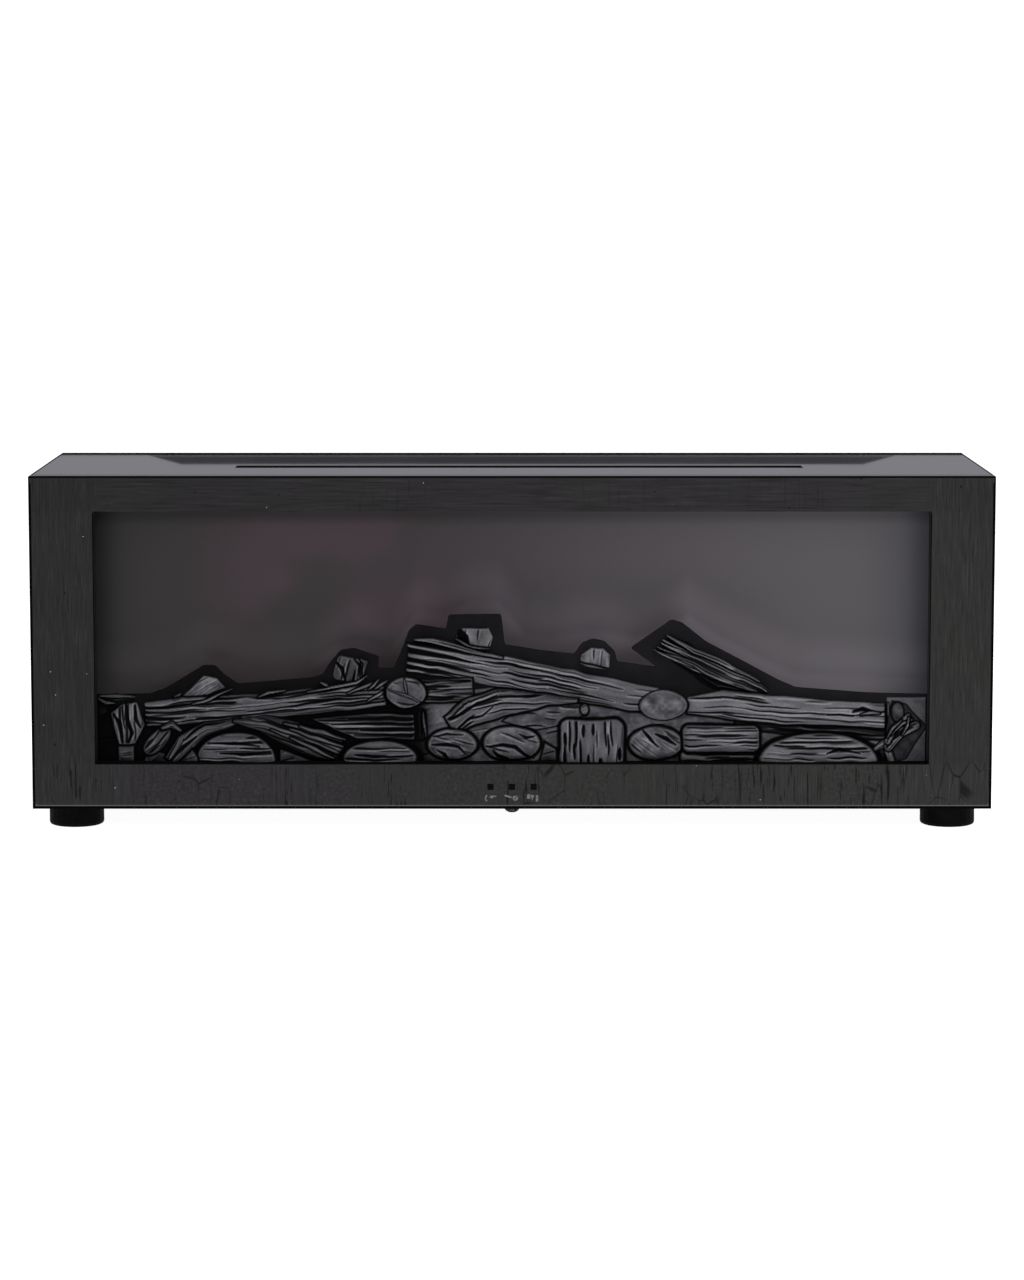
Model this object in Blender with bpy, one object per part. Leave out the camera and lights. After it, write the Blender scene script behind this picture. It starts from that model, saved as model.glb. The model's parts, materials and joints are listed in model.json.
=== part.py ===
"""Electric fireplace: a low, wide cabinet with a black frame, a moulded log panel and a flame screen.

X runs across the width, the front faces -Y and Z is up. The origin is on the floor, under the middle
of the cabinet. Lengths are in metres.
"""

from math import cos, pi, radians, sin

import bmesh
import bpy
from mathutils import Matrix, Vector

# Driving dimensions.
WIDTH = 0.800
DEPTH = 0.260
HEIGHT = 0.296
FOOT_HEIGHT = 0.018
SHEET = 0.0012
GAP = 0.0003

# Front frame and the opening in it.
FRAME_DEPTH = 0.020
FRAME_EDGE = 0.0007
OPENING_HALF_WIDTH = 0.347
OPENING_BOTTOM = 0.056
OPENING_TOP = 0.267

# Planes that several pieces meet.
FRONT = -DEPTH / 2
BACK = DEPTH / 2
SIDE = WIDTH / 2
FRAME_BACK = FRONT + FRAME_DEPTH
CASE_FRONT = FRAME_BACK + GAP
INNER_SIDE = SIDE - SHEET - GAP
FLOOR = FOOT_HEIGHT + SHEET + GAP
CEILING = HEIGHT - SHEET - GAP
COVER_FRONT = BACK - 0.0036

# Feet.
FOOT_RADIUS = 0.023
FOOT_X = 0.367
FOOT_Y = 0.094
FOOT_SCREW_RADIUS = 0.0020
FOOT_BORE_RADIUS = 0.0024
FOOT_RECESS_RADIUS = 0.0055
FOOT_RECESS_DEPTH = 0.0060

# Firebox: log panel, flame screen and the dark walls round them.
SCREEN_FRONT = -0.065
SCREEN_THICKNESS = 0.003
REVEAL_X = 0.357
REVEAL_Z = 0.2715
LOG_PANEL_HALF_WIDTH = 0.3555
LOG_PANEL_BOTTOM = 0.030
LOG_PANEL_THICKNESS = 0.0015
LOG_SHOULDER = 0.112
LOG_RELIEF = 0.0135

# Warm-air outlet in the top, and the blower under it.
SLOT_LEFT = -0.235
SLOT_RIGHT = 0.247
SLOT_FRONT = -0.040
SLOT_BACK = -0.014
DUCT_WALL = 0.001
WHEEL_Y = -0.015
WHEEL_Z = 0.215
WHEEL_RADIUS = 0.0235
WHEEL_BLADES = 18
SHAFT_RADIUS = 0.003
SHAFT_BORE_RADIUS = 0.0033
BUSH_BORE_RADIUS = 0.00312

# Flicker rotor that throws moving light on the screen.
FLICKER_Y = -0.035
FLICKER_Z = 0.085
FLICKER_FLAG_RADIUS = 0.021
FLICKER_BRACKET_X = 0.339
FLICKER_SLEEVES = 3
FLAGS_ON_A_SLEEVE = 9

# Controls in the lower rail.
BUTTON_SIZE = 0.0046
BUTTON_PITCH = 0.0180
BUTTON_Z = 0.0366
BUTTON_CLEARANCE = 0.0003
POCKET_FRONT = FRONT + 0.008
POCKET_HALF_WIDTH = 0.036
POCKET_LOW = 0.0235
POCKET_HIGH = 0.0500
EYE_SETBACK = 0.0100
EYE_STEM_RADIUS = 0.0029
EYE_STEM_LENGTH = 0.0050

# Mains inlet and rocker switch on the rear cover.
INLET_X = 0.272
SWITCH_X = 0.318
SOCKET_Z = 0.062
ROCKER_PIVOT_Y = 0.1195
ROCKER_TILT = radians(7)

# Which way a flat plate faces: its outline is drawn in X-Y, X-Z or Y-Z.
FACING = {
    "up": (0.0, 0.0, 0.0),
    "front": (pi / 2, 0.0, 0.0),
    "side": (pi / 2, 0.0, pi / 2),
}
# Which way a turned piece's axis points.
ALONG = {"x": (0.0, pi / 2, 0.0), "y": (-pi / 2, 0.0, 0.0), "z": (0.0, 0.0, 0.0)}


def clear_scene():
    for old in list(bpy.data.objects):
        bpy.data.objects.remove(old, do_unlink=True)


def make_material(name, colour, roughness, metallic=0.0, alpha=1.0):
    material = bpy.data.materials.new(name)
    material.use_nodes = True
    shader = material.node_tree.nodes["Principled BSDF"]
    shader.inputs["Base Color"].default_value = (*colour, 1.0)
    shader.inputs["Roughness"].default_value = roughness
    shader.inputs["Metallic"].default_value = metallic
    shader.inputs["Alpha"].default_value = alpha
    material.diffuse_color = (*colour, alpha)
    return material


def make_materials():
    return {
        "frame_black": make_material("frame_black", (0.028, 0.027, 0.028), 0.62),
        "case_black": make_material("case_black", (0.020, 0.020, 0.021), 0.28),
        "log_charcoal": make_material("log_charcoal", (0.050, 0.048, 0.052), 0.75),
        "screen_smoke": make_material("screen_smoke", (0.070, 0.062, 0.066), 0.30),
        "inner_black": make_material("inner_black", (0.012, 0.012, 0.012), 0.70),
        "bare_steel": make_material("bare_steel", (0.45, 0.46, 0.47), 0.35, 1.0),
        "aluminium": make_material("aluminium", (0.72, 0.72, 0.73), 0.30, 1.0),
        "grey_plastic": make_material("grey_plastic", (0.20, 0.20, 0.21), 0.50),
        "black_plastic": make_material("black_plastic", (0.015, 0.015, 0.016), 0.40),
        "white_nylon": make_material("white_nylon", (0.75, 0.74, 0.70), 0.50),
        "board_green": make_material("board_green", (0.02, 0.12, 0.05), 0.45),
        "rubber_black": make_material("rubber_black", (0.010, 0.009, 0.010), 0.55),
        "smoked_lens": make_material("smoked_lens", (0.030, 0.010, 0.012), 0.15),
        "motor_grey": make_material("motor_grey", (0.22, 0.21, 0.20), 0.45, 0.6),
    }


def finished(name, mesh, material):
    obj = bpy.data.objects.new(name, mesh)
    bpy.context.collection.objects.link(obj)
    mesh.materials.clear()
    mesh.materials.append(material)
    return obj


def from_bmesh(name, shape, material):
    bmesh.ops.recalc_face_normals(shape, faces=shape.faces)
    mesh = bpy.data.meshes.new(name)
    shape.to_mesh(mesh)
    shape.free()
    return finished(name, mesh, material)


def rectangle(left, right, low, high):
    return [(left, low), (right, low), (right, high), (left, high)]


def circle(centre_x, centre_y, radius, points):
    angles = [2 * pi * step / points for step in range(points)]
    return [(centre_x + radius * cos(a), centre_y + radius * sin(a)) for a in angles]


def upright_slot(centre_x, low, high, width, arc_points=3):
    """A slot with round ends, drawn anticlockwise from its lower left."""
    radius = width / 2
    outline = []
    for centre_y, first_angle in ((low + radius, pi), (high - radius, 0.0)):
        for step in range(arc_points + 1):
            angle = first_angle + pi * step / arc_points
            outline.append((centre_x + radius * cos(angle), centre_y + radius * sin(angle)))
    return outline


def strip(points, thickness):
    """The outline of a bent sheet whose middle line runs through points."""
    middle = [Vector(point) for point in points]
    one_side, other_side = [], []
    for index, point in enumerate(middle):
        before = middle[max(index - 1, 0)]
        after = middle[min(index + 1, len(middle) - 1)]
        along = (after - before).normalized()
        across = Vector((-along.y, along.x)) * thickness / 2
        one_side.append(tuple(point + across))
        other_side.append(tuple(point - across))
    return one_side + other_side[::-1]


def plate(name, facing, outlines, start, thickness, material, edge=0.0):
    """A flat plate that starts at start along its normal. Outlines inside the first are holes."""
    curve = bpy.data.curves.new(name, "CURVE")
    curve.dimensions = "2D"
    curve.fill_mode = "BOTH"
    curve.extrude = thickness / 2 - edge
    curve.bevel_depth = edge
    curve.bevel_resolution = 1
    curve.offset = -edge
    for outline in outlines:
        spline = curve.splines.new("POLY")
        spline.points.add(len(outline) - 1)
        for point, (x, y) in zip(spline.points, outline):
            point.co = (x, y, 0.0, 1.0)
        spline.use_cyclic_u = True
    drawn = bpy.data.objects.new(name, curve)
    bpy.context.collection.objects.link(drawn)
    graph = bpy.context.evaluated_depsgraph_get()
    mesh = bpy.data.meshes.new_from_object(drawn.evaluated_get(graph))
    bpy.data.objects.remove(drawn)
    bpy.data.curves.remove(curve)

    shape = bmesh.new()
    shape.from_mesh(mesh)
    bmesh.ops.remove_doubles(shape, verts=shape.verts, dist=1e-6)
    # The normal of a front plate points at -Y, so its distance is measured backwards.
    along_normal = -1 if facing == "front" else 1
    middle = along_normal * (start + thickness / 2)
    bmesh.ops.translate(shape, verts=shape.verts, vec=(0.0, 0.0, middle))
    obj = from_bmesh(name, shape, material)
    obj.rotation_euler = FACING[facing]
    return obj


def block(name, low, high, material):
    shape = bmesh.new()
    size = [top - bottom for bottom, top in zip(low, high)]
    middle = [(top + bottom) / 2 for bottom, top in zip(low, high)]
    bmesh.ops.create_cube(shape, size=1.0)
    bmesh.ops.scale(shape, verts=shape.verts, vec=size)
    bmesh.ops.translate(shape, verts=shape.verts, vec=middle)
    return from_bmesh(name, shape, material)


def turned(name, profile, along, place, material, segments=16, ring=False):
    """A profile of (radius, distance along the axis) turned round. A ring's profile closes on itself."""
    shape = bmesh.new()
    rows = []
    for radius, height in profile:
        if radius == 0.0:
            rows.append([shape.verts.new((0.0, 0.0, height))])
            continue
        points = circle(0.0, 0.0, radius, segments)
        rows.append([shape.verts.new((x, y, height)) for x, y in points])
    pairs = list(zip(rows, rows[1:]))
    if ring:
        pairs.append((rows[-1], rows[0]))
    for lower, upper in pairs:
        for step in range(segments):
            following = (step + 1) % segments
            corners = [lower[step % len(lower)], lower[following % len(lower)]]
            corners += [upper[following % len(upper)], upper[step % len(upper)]]
            corners = list(dict.fromkeys(corners))
            if len(corners) > 2:
                shape.faces.new(corners)
    obj = from_bmesh(name, shape, material)
    obj.rotation_euler = ALONG[along]
    obj.location = place
    obj.data.shade_smooth()
    obj.data.set_sharp_from_angle(angle=radians(35))
    return obj


def round_bar(radius, start, end, along, place, material, segments=12, name="round_bar"):
    """A round bar from start to end along an axis: a pin, or the shape of a drilled hole."""
    profile = [(0.0, start), (radius, start), (radius, end), (0.0, end)]
    return turned(name, profile, along, place, material, segments)


def combine(obj, others, operation):
    """Joins the others to the object, or cuts them from it, and takes the others away."""
    for other in others:
        change = obj.modifiers.new(operation.lower(), "BOOLEAN")
        change.operation = operation
        change.solver = "EXACT"
        change.object = other
    bpy.context.view_layer.update()
    graph = bpy.context.evaluated_depsgraph_get()
    mesh = bpy.data.meshes.new_from_object(obj.evaluated_get(graph))
    obj.modifiers.clear()
    obj.data = mesh
    for other in others:
        bpy.data.objects.remove(other, do_unlink=True)
    return obj


def join(obj, *others):
    return combine(obj, others, "UNION")


def cut(obj, *others):
    return combine(obj, others, "DIFFERENCE")


def turn_about(obj, pivot, parent_name):
    """Hangs a moving piece on an empty that sits on its joint's axis."""
    parent = bpy.data.objects.get(parent_name)
    if parent is None:
        parent = bpy.data.objects.new(parent_name, None)
        parent.empty_display_size = 0.02
        parent.location = pivot
        bpy.context.collection.objects.link(parent)
    obj.parent = parent
    obj.matrix_parent_inverse = Matrix.Translation(pivot).inverted()
    return obj


# ---------------------------------------------------------------- cabinet


def button_places():
    return [BUTTON_PITCH * step for step in (-1, 0, 1)]


def front_frame(paint):
    """A thick painted board with the fire opening, a pocket behind the controls and three button holes."""
    outer = rectangle(-SIDE, SIDE, FOOT_HEIGHT, HEIGHT)
    opening = rectangle(-OPENING_HALF_WIDTH, OPENING_HALF_WIDTH, OPENING_BOTTOM, OPENING_TOP)
    frame = plate("front_frame", "front", [outer, opening], FRONT, FRAME_DEPTH, paint, FRAME_EDGE)
    pocket = block(
        "pocket",
        (-POCKET_HALF_WIDTH, POCKET_FRONT, POCKET_LOW),
        (POCKET_HALF_WIDTH, FRAME_BACK + 0.002, POCKET_HIGH),
        paint,
    )
    half = BUTTON_SIZE / 2 + BUTTON_CLEARANCE
    holes = [
        block(
            "button_hole",
            (x - half, FRONT - 0.002, BUTTON_Z - half),
            (x + half, POCKET_FRONT + 0.001, BUTTON_Z + half),
            paint,
        )
        for x in button_places()
    ]
    stem = (0.0, FRONT + EYE_SETBACK, FOOT_HEIGHT)
    stem_hole = round_bar(EYE_STEM_RADIUS + GAP, -0.002, EYE_STEM_LENGTH + GAP, "z", stem, paint)
    cut(frame, pocket, *holes, stem_hole)


def top_panel(paint):
    outer = rectangle(-SIDE, SIDE, CASE_FRONT, BACK)
    slot = rectangle(SLOT_LEFT, SLOT_RIGHT, SLOT_FRONT, SLOT_BACK)
    plate("top_panel", "up", [outer, slot], HEIGHT - SHEET, SHEET, paint)


def side_panels(paint):
    outline = rectangle(CASE_FRONT, BACK, FOOT_HEIGHT, CEILING)
    plate("left_side_panel", "side", [outline], -SIDE, SHEET, paint)
    plate("right_side_panel", "side", [outline], SIDE - SHEET, SHEET, paint)


def foot_places():
    return [(x, y) for y in (-FOOT_Y, FOOT_Y) for x in (-FOOT_X, FOOT_X)]


def base_panel(paint):
    outer = rectangle(-INNER_SIDE, INNER_SIDE, CASE_FRONT, BACK)
    holes = [circle(x, y, FOOT_BORE_RADIUS, 12) for x, y in foot_places()]
    plate("base_panel", "up", [outer] + holes, FOOT_HEIGHT, SHEET, paint)


def cover_screw_places():
    inset_x, inset_z = 0.0075, 0.030
    sides = (-INNER_SIDE + inset_x, INNER_SIDE - inset_x)
    return [(x, z) for z in (FLOOR + inset_z, CEILING - inset_z) for x in sides]


def rear_cover(paint):
    """A flat cover with two rows of intake slots and two square holes for the mains parts."""
    slot_count, slot_pitch, slot_width = 30, 0.012, 0.004
    first = -slot_pitch * (slot_count - 1) / 2
    outer = rectangle(-INNER_SIDE, INNER_SIDE, FLOOR, CEILING - GAP)
    holes = [
        upright_slot(first + slot_pitch * step, 0.186, 0.236, slot_width)
        for step in range(slot_count)
    ]
    holes += [
        upright_slot(first + slot_pitch * step, 0.040, 0.074, slot_width)
        for step in range(slot_count // 3)
    ]
    holes += [circle(x, z, 0.0022, 12) for x, z in cover_screw_places()]
    holes.append(rectangle(INLET_X - 0.0138, INLET_X + 0.0138, SOCKET_Z - 0.0106, SOCKET_Z + 0.0106))
    holes.append(rectangle(SWITCH_X - 0.0069, SWITCH_X + 0.0069, SOCKET_Z - 0.0118, SOCKET_Z + 0.0118))
    plate("rear_cover", "front", [outer] + holes, COVER_FRONT, SHEET, paint)


def cross_recess(x, head_back, z, metal):
    """The two crossed slots in a screw's head."""
    half_length, half_width, depth = 0.0019, 0.00035, 0.0009
    return [
        block(
            "slot",
            (x - half_x, head_back - depth, z - half_z),
            (x + half_x, head_back + depth, z + half_z),
            metal,
        )
        for half_x, half_z in ((half_length, half_width), (half_width, half_length))
    ]


def cover_screws(metal):
    head_front = COVER_FRONT + SHEET + GAP
    head_back = head_front + 0.0018
    for number, (x, z) in enumerate(cover_screw_places(), start=1):
        profile = [
            (0.0, head_front - 0.0132),
            (0.00175, head_front - 0.0112),
            (0.00175, head_front),
            (0.0036, head_front),
            (0.0034, head_back - 0.0006),
            (0.0024, head_back),
            (0.0, head_back),
        ]
        screw = turned(f"cover_screw_{number}", profile, "y", (x, 0.0, z), metal, segments=14)
        cut(screw, *cross_recess(x, head_back, z, metal))


def corner_posts(metal):
    """Angle sections in the four upright corners. The rear pair takes the cover's screws."""
    leg, pilot_radius = 0.015, 0.0022
    ends = (("front", CASE_FRONT, 1), ("rear", COVER_FRONT - GAP, -1))
    for side_name, sign in (("left", -1), ("right", 1)):
        wall = sign * INNER_SIDE
        inner = sign * (INNER_SIDE - SHEET)
        reach = sign * (INNER_SIDE - leg)
        for end_name, face, inward in ends:
            web = face + inward * SHEET
            outline = [
                (wall, face),
                (reach, face),
                (reach, web),
                (inner, web),
                (inner, face + inward * leg),
                (wall, face + inward * leg),
            ]
            length = CEILING - GAP - FLOOR
            post = plate(f"{end_name}_post_{side_name}", "up", [outline], FLOOR, length, metal)
            if end_name == "rear":
                pilots = [
                    round_bar(pilot_radius, web - 0.003, face + 0.002, "y", (x, 0.0, z), metal)
                    for x, z in cover_screw_places()
                    if x * sign > 0
                ]
                cut(post, *pilots)


def feet(rubber, metal):
    top = FOOT_HEIGHT - GAP
    profile = [
        (FOOT_RECESS_RADIUS, 0.0),
        (FOOT_RADIUS - 0.0025, 0.0),
        (FOOT_RADIUS - 0.0008, 0.0008),
        (FOOT_RADIUS, 0.0026),
        (FOOT_RADIUS, top),
        (FOOT_BORE_RADIUS, top),
        (FOOT_BORE_RADIUS, FOOT_RECESS_DEPTH),
        (FOOT_RECESS_RADIUS, FOOT_RECESS_DEPTH),
    ]
    head_top = FOOT_RECESS_DEPTH - GAP
    screw = [
        (0.0, head_top - 0.0014),
        (0.0018, head_top - 0.0014),
        (0.0018, head_top - 0.0030),
        (0.0030, head_top - 0.0030),
        (0.0045, head_top - 0.0015),
        (0.0045, head_top),
        (FOOT_SCREW_RADIUS, head_top),
        (FOOT_SCREW_RADIUS, FLOOR + 0.0050),
        (0.0, FLOOR + 0.0060),
    ]
    names = ("front_left", "front_right", "rear_left", "rear_right")
    for name, (x, y) in zip(names, foot_places()):
        turned(f"foot_{name}", profile, "z", (x, y, 0.0), rubber, segments=28, ring=True)
        turned(f"foot_screw_{name}", screw, "z", (x, y, 0.0), metal, segments=10)


# ---------------------------------------------------------------- firebox


def log_panel_outline():
    """The top edge of the moulded panel, from left to right, in metres from the middle of the floor."""
    skyline = [
        (-0.303, 0.1125), (-0.290, 0.1170), (-0.270, 0.1290), (-0.258, 0.1365), (-0.248, 0.1365),
        (-0.241, 0.1290), (-0.229, 0.1210), (-0.168, 0.1260), (-0.158, 0.1290), (-0.152, 0.1390),
        (-0.143, 0.1495), (-0.132, 0.1510), (-0.111, 0.1440), (-0.112, 0.1340), (-0.099, 0.1340),
        (-0.094, 0.1450), (-0.086, 0.1660), (-0.080, 0.1710), (-0.055, 0.1670), (-0.053, 0.1790),
        (-0.009, 0.1795), (-0.006, 0.1540), (0.022, 0.1495), (0.052, 0.1460), (0.058, 0.1550),
        (0.067, 0.1590), (0.077, 0.1570), (0.086, 0.1480), (0.088, 0.1395), (0.121, 0.1350),
        (0.099, 0.1510), (0.133, 0.1750), (0.142, 0.1725), (0.162, 0.1565), (0.199, 0.1370),
        (0.222, 0.1245), (0.237, 0.1180), (0.296, 0.1135),
    ]
    left, right = -LOG_PANEL_HALF_WIDTH, LOG_PANEL_HALF_WIDTH
    rim = [(left, LOG_SHOULDER), (left, LOG_PANEL_BOTTOM), (right, LOG_PANEL_BOTTOM), (right, LOG_SHOULDER)]
    return rim + skyline[::-1]


def log_bar(start, end, start_radius, end_radius, material):
    """A tapered log lying on the panel, flattened so that it stands out by LOG_RELIEF at most."""
    along = Vector((end[0] - start[0], 0.0, end[1] - start[1]))
    profile = [
        (0.0, 0.0),
        (start_radius * 0.90, 0.0),
        (start_radius, start_radius * 0.25),
        (end_radius, along.length - end_radius * 0.25),
        (end_radius * 0.90, along.length),
        (0.0, along.length),
    ]
    bar = turned("log_bar", profile, "z", (0.0, 0.0, 0.0), material, segments=10)
    widest = max(start_radius, end_radius)
    flatten = Matrix.Diagonal((1.0, min(1.0, LOG_RELIEF / widest), 1.0, 1.0))
    lean = along.to_track_quat("Z", "Y").to_matrix().to_4x4()
    plane = CASE_FRONT + LOG_PANEL_THICKNESS / 3
    place = Matrix.Translation((start[0], plane, start[1]))
    bar.rotation_euler = (0.0, 0.0, 0.0)
    bar.data.transform(place @ flatten @ lean)
    return bar


def log_panel(moulding):
    panel = plate(
        "log_panel", "front", [log_panel_outline()], CASE_FRONT, LOG_PANEL_THICKNESS, moulding
    )
    logs = [
        # start (x, z), end (x, z), radius at the start and at the end
        ((-0.298, 0.096), (-0.104, 0.112), 0.0100, 0.0095),
        ((-0.092, 0.112), (-0.036, 0.112), 0.0115, 0.0090),
        ((-0.080, 0.143), (0.115, 0.108), 0.0150, 0.0100),
        ((0.124, 0.160), (0.218, 0.112), 0.0105, 0.0080),
        ((0.146, 0.101), (0.310, 0.088), 0.0085, 0.0110),
        ((-0.297, 0.066), (-0.143, 0.068), 0.0090, 0.0070),
        ((-0.176, 0.084), (-0.083, 0.084), 0.0095, 0.0095),
        ((-0.142, 0.0675), (-0.080, 0.0670), 0.0100, 0.0090),
        ((-0.062, 0.070), (-0.030, 0.068), 0.0110, 0.0100),
        ((-0.020, 0.069), (0.022, 0.069), 0.0120, 0.0110),
        ((0.066, 0.060), (0.066, 0.090), 0.0200, 0.0190),
        ((0.100, 0.069), (0.142, 0.069), 0.0120, 0.0080),
        ((0.146, 0.072), (0.206, 0.072), 0.0140, 0.0140),
        ((0.214, 0.071), (0.300, 0.071), 0.0130, 0.0130),
        ((0.321, 0.062), (0.330, 0.104), 0.0060, 0.0050),
        ((-0.335, 0.074), (-0.318, 0.100), 0.0090, 0.0080),
    ]
    join(panel, *[log_bar(*log, moulding) for log in logs])
    behind = block(
        "behind",
        (-WIDTH, CASE_FRONT + LOG_PANEL_THICKNESS, 0.0),
        (WIDTH, CASE_FRONT + 5 * LOG_RELIEF, HEIGHT),
        moulding,
    )
    cut(panel, behind)


def firebox_walls(paint, smoke):
    screen_outline = rectangle(-REVEAL_X + GAP, REVEAL_X - GAP, FLOOR + 0.020, REVEAL_Z - GAP)
    plate("flame_screen", "front", [screen_outline], SCREEN_FRONT, SCREEN_THICKNESS, smoke)
    behind_logs = CASE_FRONT + LOG_PANEL_THICKNESS + GAP
    wall = rectangle(behind_logs, SCREEN_FRONT + SCREEN_THICKNESS + 0.004, FLOOR, REVEAL_Z)
    plate("left_reveal", "side", [wall], -REVEAL_X - SHEET, SHEET, paint)
    plate("right_reveal", "side", [wall], REVEAL_X, SHEET, paint)
    roof = rectangle(
        -REVEAL_X - SHEET, REVEAL_X + SHEET, CASE_FRONT, SCREEN_FRONT + SCREEN_THICKNESS + 0.004
    )
    plate("top_reveal", "up", [roof], REVEAL_Z + GAP, SHEET, paint)
    bed = rectangle(-REVEAL_X + GAP, REVEAL_X - GAP, behind_logs, SCREEN_FRONT - GAP)
    plate("ember_shelf", "up", [bed], 0.058, SHEET, paint)


# ---------------------------------------------------------------- flame effect


def led_light(metal, board):
    """A strip of lamps in a shallow channel, under the flicker rotor."""
    left, right = -0.325, 0.325
    front, back, wall = -0.058, -0.040, 0.0012
    low = FLOOR
    channel = [
        (front, low),
        (back, low),
        (back, low + 0.008),
        (back - wall, low + 0.008),
        (back - wall, low + wall),
        (front + wall, low + wall),
        (front + wall, low + 0.008),
        (front, low + 0.008),
    ]
    plate("led_channel", "side", [channel], left, right - left, metal)
    strip_low = low + wall + GAP
    led_strip = block(
        "led_strip", (left + 0.004, -0.054, strip_low), (right - 0.004, -0.044, strip_low + 0.0012), board
    )
    lamp_count, lamp = 16, 0.0035
    for number in range(lamp_count):
        x = left + 0.025 + (right - left - 0.050) * number / (lamp_count - 1)
        lamp_block = block(
            "lamp",
            (x - lamp / 2, -0.049 - lamp / 2, strip_low + 0.0006),
            (x + lamp / 2, -0.049 + lamp / 2, strip_low + 0.0028),
            board,
        )
        join(led_strip, lamp_block)


def flicker_rotor(metal, foil):
    """A long rod in three sleeves. Each sleeve carries bright flags that lean at different angles."""
    pivot = (0.0, FLICKER_Y, FLICKER_Z)
    rod_left, rod_right = -0.352, 0.348
    rod = round_bar(SHAFT_RADIUS, rod_left, rod_right, "x", pivot, metal, 16, "flicker_rod")
    turn_about(rod, pivot, "flicker_axis")
    sleeve_length, sleeve_pitch = 0.205, 0.212
    for number in range(FLICKER_SLEEVES):
        middle = sleeve_pitch * (number - (FLICKER_SLEEVES - 1) / 2)
        left, right = middle - sleeve_length / 2, middle + sleeve_length / 2
        sleeve = turned(
            f"flicker_vanes_{number + 1}",
            [(SHAFT_BORE_RADIUS, left), (0.0045, left), (0.0045, right), (SHAFT_BORE_RADIUS, right)],
            "x",
            pivot,
            foil,
            segments=12,
            ring=True,
        )
        flags = []
        for flag_number in range(FLAGS_ON_A_SLEEVE):
            x = left + sleeve_length * (flag_number + 0.5) / FLAGS_ON_A_SLEEVE
            lean = radians(75 * flag_number + 40 * number)
            inner, tip, thickness = 0.0039, FLICKER_FLAG_RADIUS, 0.0008
            flag = block("flag", (x - 0.007, -thickness / 2, inner), (x + 0.007, thickness / 2, tip), foil)
            flag.rotation_euler = (lean, 0.0, 0.0)
            flag.location = pivot
            flags.append(flag)
        join(sleeve, *flags)
        turn_about(sleeve, pivot, "flicker_axis")


def flicker_supports(metal, plastic, nylon):
    hole_radius = {"left": 0.0048, "right": 0.0063}
    for side_name, sign in (("left", -1), ("right", 1)):
        inner = sign * FLICKER_BRACKET_X
        outer = sign * (FLICKER_BRACKET_X + SHEET)
        toe = sign * (FLICKER_BRACKET_X - 0.014)
        angle = [
            (outer, FLOOR),
            (toe, FLOOR),
            (toe, FLOOR + SHEET),
            (inner, FLOOR + SHEET),
            (inner, FLICKER_Z + 0.020),
            (outer, FLICKER_Z + 0.020),
        ]
        bracket = plate(
            f"flicker_bracket_{side_name}", "front", [angle], FLICKER_Y - 0.014, 0.028, metal
        )
        axis = (inner, FLICKER_Y, FLICKER_Z)
        cut(bracket, round_bar(hole_radius[side_name], -0.01, 0.01, "x", axis, metal, segments=16))
    motor_right = -FLICKER_BRACKET_X - SHEET - GAP
    turned(
        "flicker_motor",
        [
            (0.0, motor_right - 0.022),
            (0.0150, motor_right - 0.022),
            (0.0165, motor_right - 0.019),
            (0.0165, motor_right),
            (SHAFT_BORE_RADIUS, motor_right),
            (SHAFT_BORE_RADIUS, motor_right - 0.013),
            (0.0, motor_right - 0.013),
        ],
        "x",
        (0.0, FLICKER_Y, FLICKER_Z),
        plastic,
        segments=24,
    )
    flange_left = FLICKER_BRACKET_X - GAP - 0.0015
    barrel_right = FLICKER_BRACKET_X + SHEET + 0.003
    turned(
        "flicker_bearing",
        [
            (BUSH_BORE_RADIUS, flange_left),
            (0.0085, flange_left),
            (0.0085, FLICKER_BRACKET_X - GAP),
            (0.0060, FLICKER_BRACKET_X - GAP),
            (0.0060, barrel_right),
            (BUSH_BORE_RADIUS, barrel_right),
        ],
        "x",
        (0.0, FLICKER_Y, FLICKER_Z),
        nylon,
        ring=True,
    )


# ---------------------------------------------------------------- warm-air blower


def blade_outline(angle):
    """The section of one blade, leaning forward from the wheel's inner circle to its rim."""
    lean = radians(28)
    inner_radius, half = WHEEL_RADIUS * 0.76, 0.0005
    inner = Vector((cos(angle), sin(angle))) * inner_radius
    outer = Vector((cos(angle + lean * 0.45), sin(angle + lean * 0.45))) * (WHEEL_RADIUS - 0.0006)
    across = Vector((-(outer - inner).y, (outer - inner).x)).normalized() * half
    return [tuple(p) for p in (inner - across, outer - across, outer + across, inner + across)]


def blower_wheel(metal, foil):
    pivot = (0.0, WHEEL_Y, WHEEL_Z)
    left, right = SLOT_LEFT + 0.006, SLOT_RIGHT - 0.006
    shaft_left, shaft_right = SLOT_LEFT - 0.008, SLOT_RIGHT + 0.030
    shaft = round_bar(SHAFT_RADIUS, shaft_left, shaft_right, "x", pivot, metal, 16, "blower_shaft")
    turn_about(shaft, pivot, "blower_axis")
    sections, disc = 3, 0.0016
    length = right - left - disc
    discs = []
    for number in range(sections + 1):
        start = left + length * number / sections
        discs.append(
            turned(
                "disc",
                [
                    (SHAFT_BORE_RADIUS, start),
                    (WHEEL_RADIUS, start),
                    (WHEEL_RADIUS, start + disc),
                    (SHAFT_BORE_RADIUS, start + disc),
                ],
                "x",
                pivot,
                foil,
                segments=24,
                ring=True,
            )
        )
    outlines = [blade_outline(2 * pi * step / WHEEL_BLADES) for step in range(WHEEL_BLADES)]
    wheel = plate("blower_wheel", "side", outlines, left + disc / 2, length, foil)
    wheel.location = (0.0, WHEEL_Y, WHEEL_Z)
    join(wheel, *discs)
    turn_about(wheel, pivot, "blower_axis")


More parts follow.
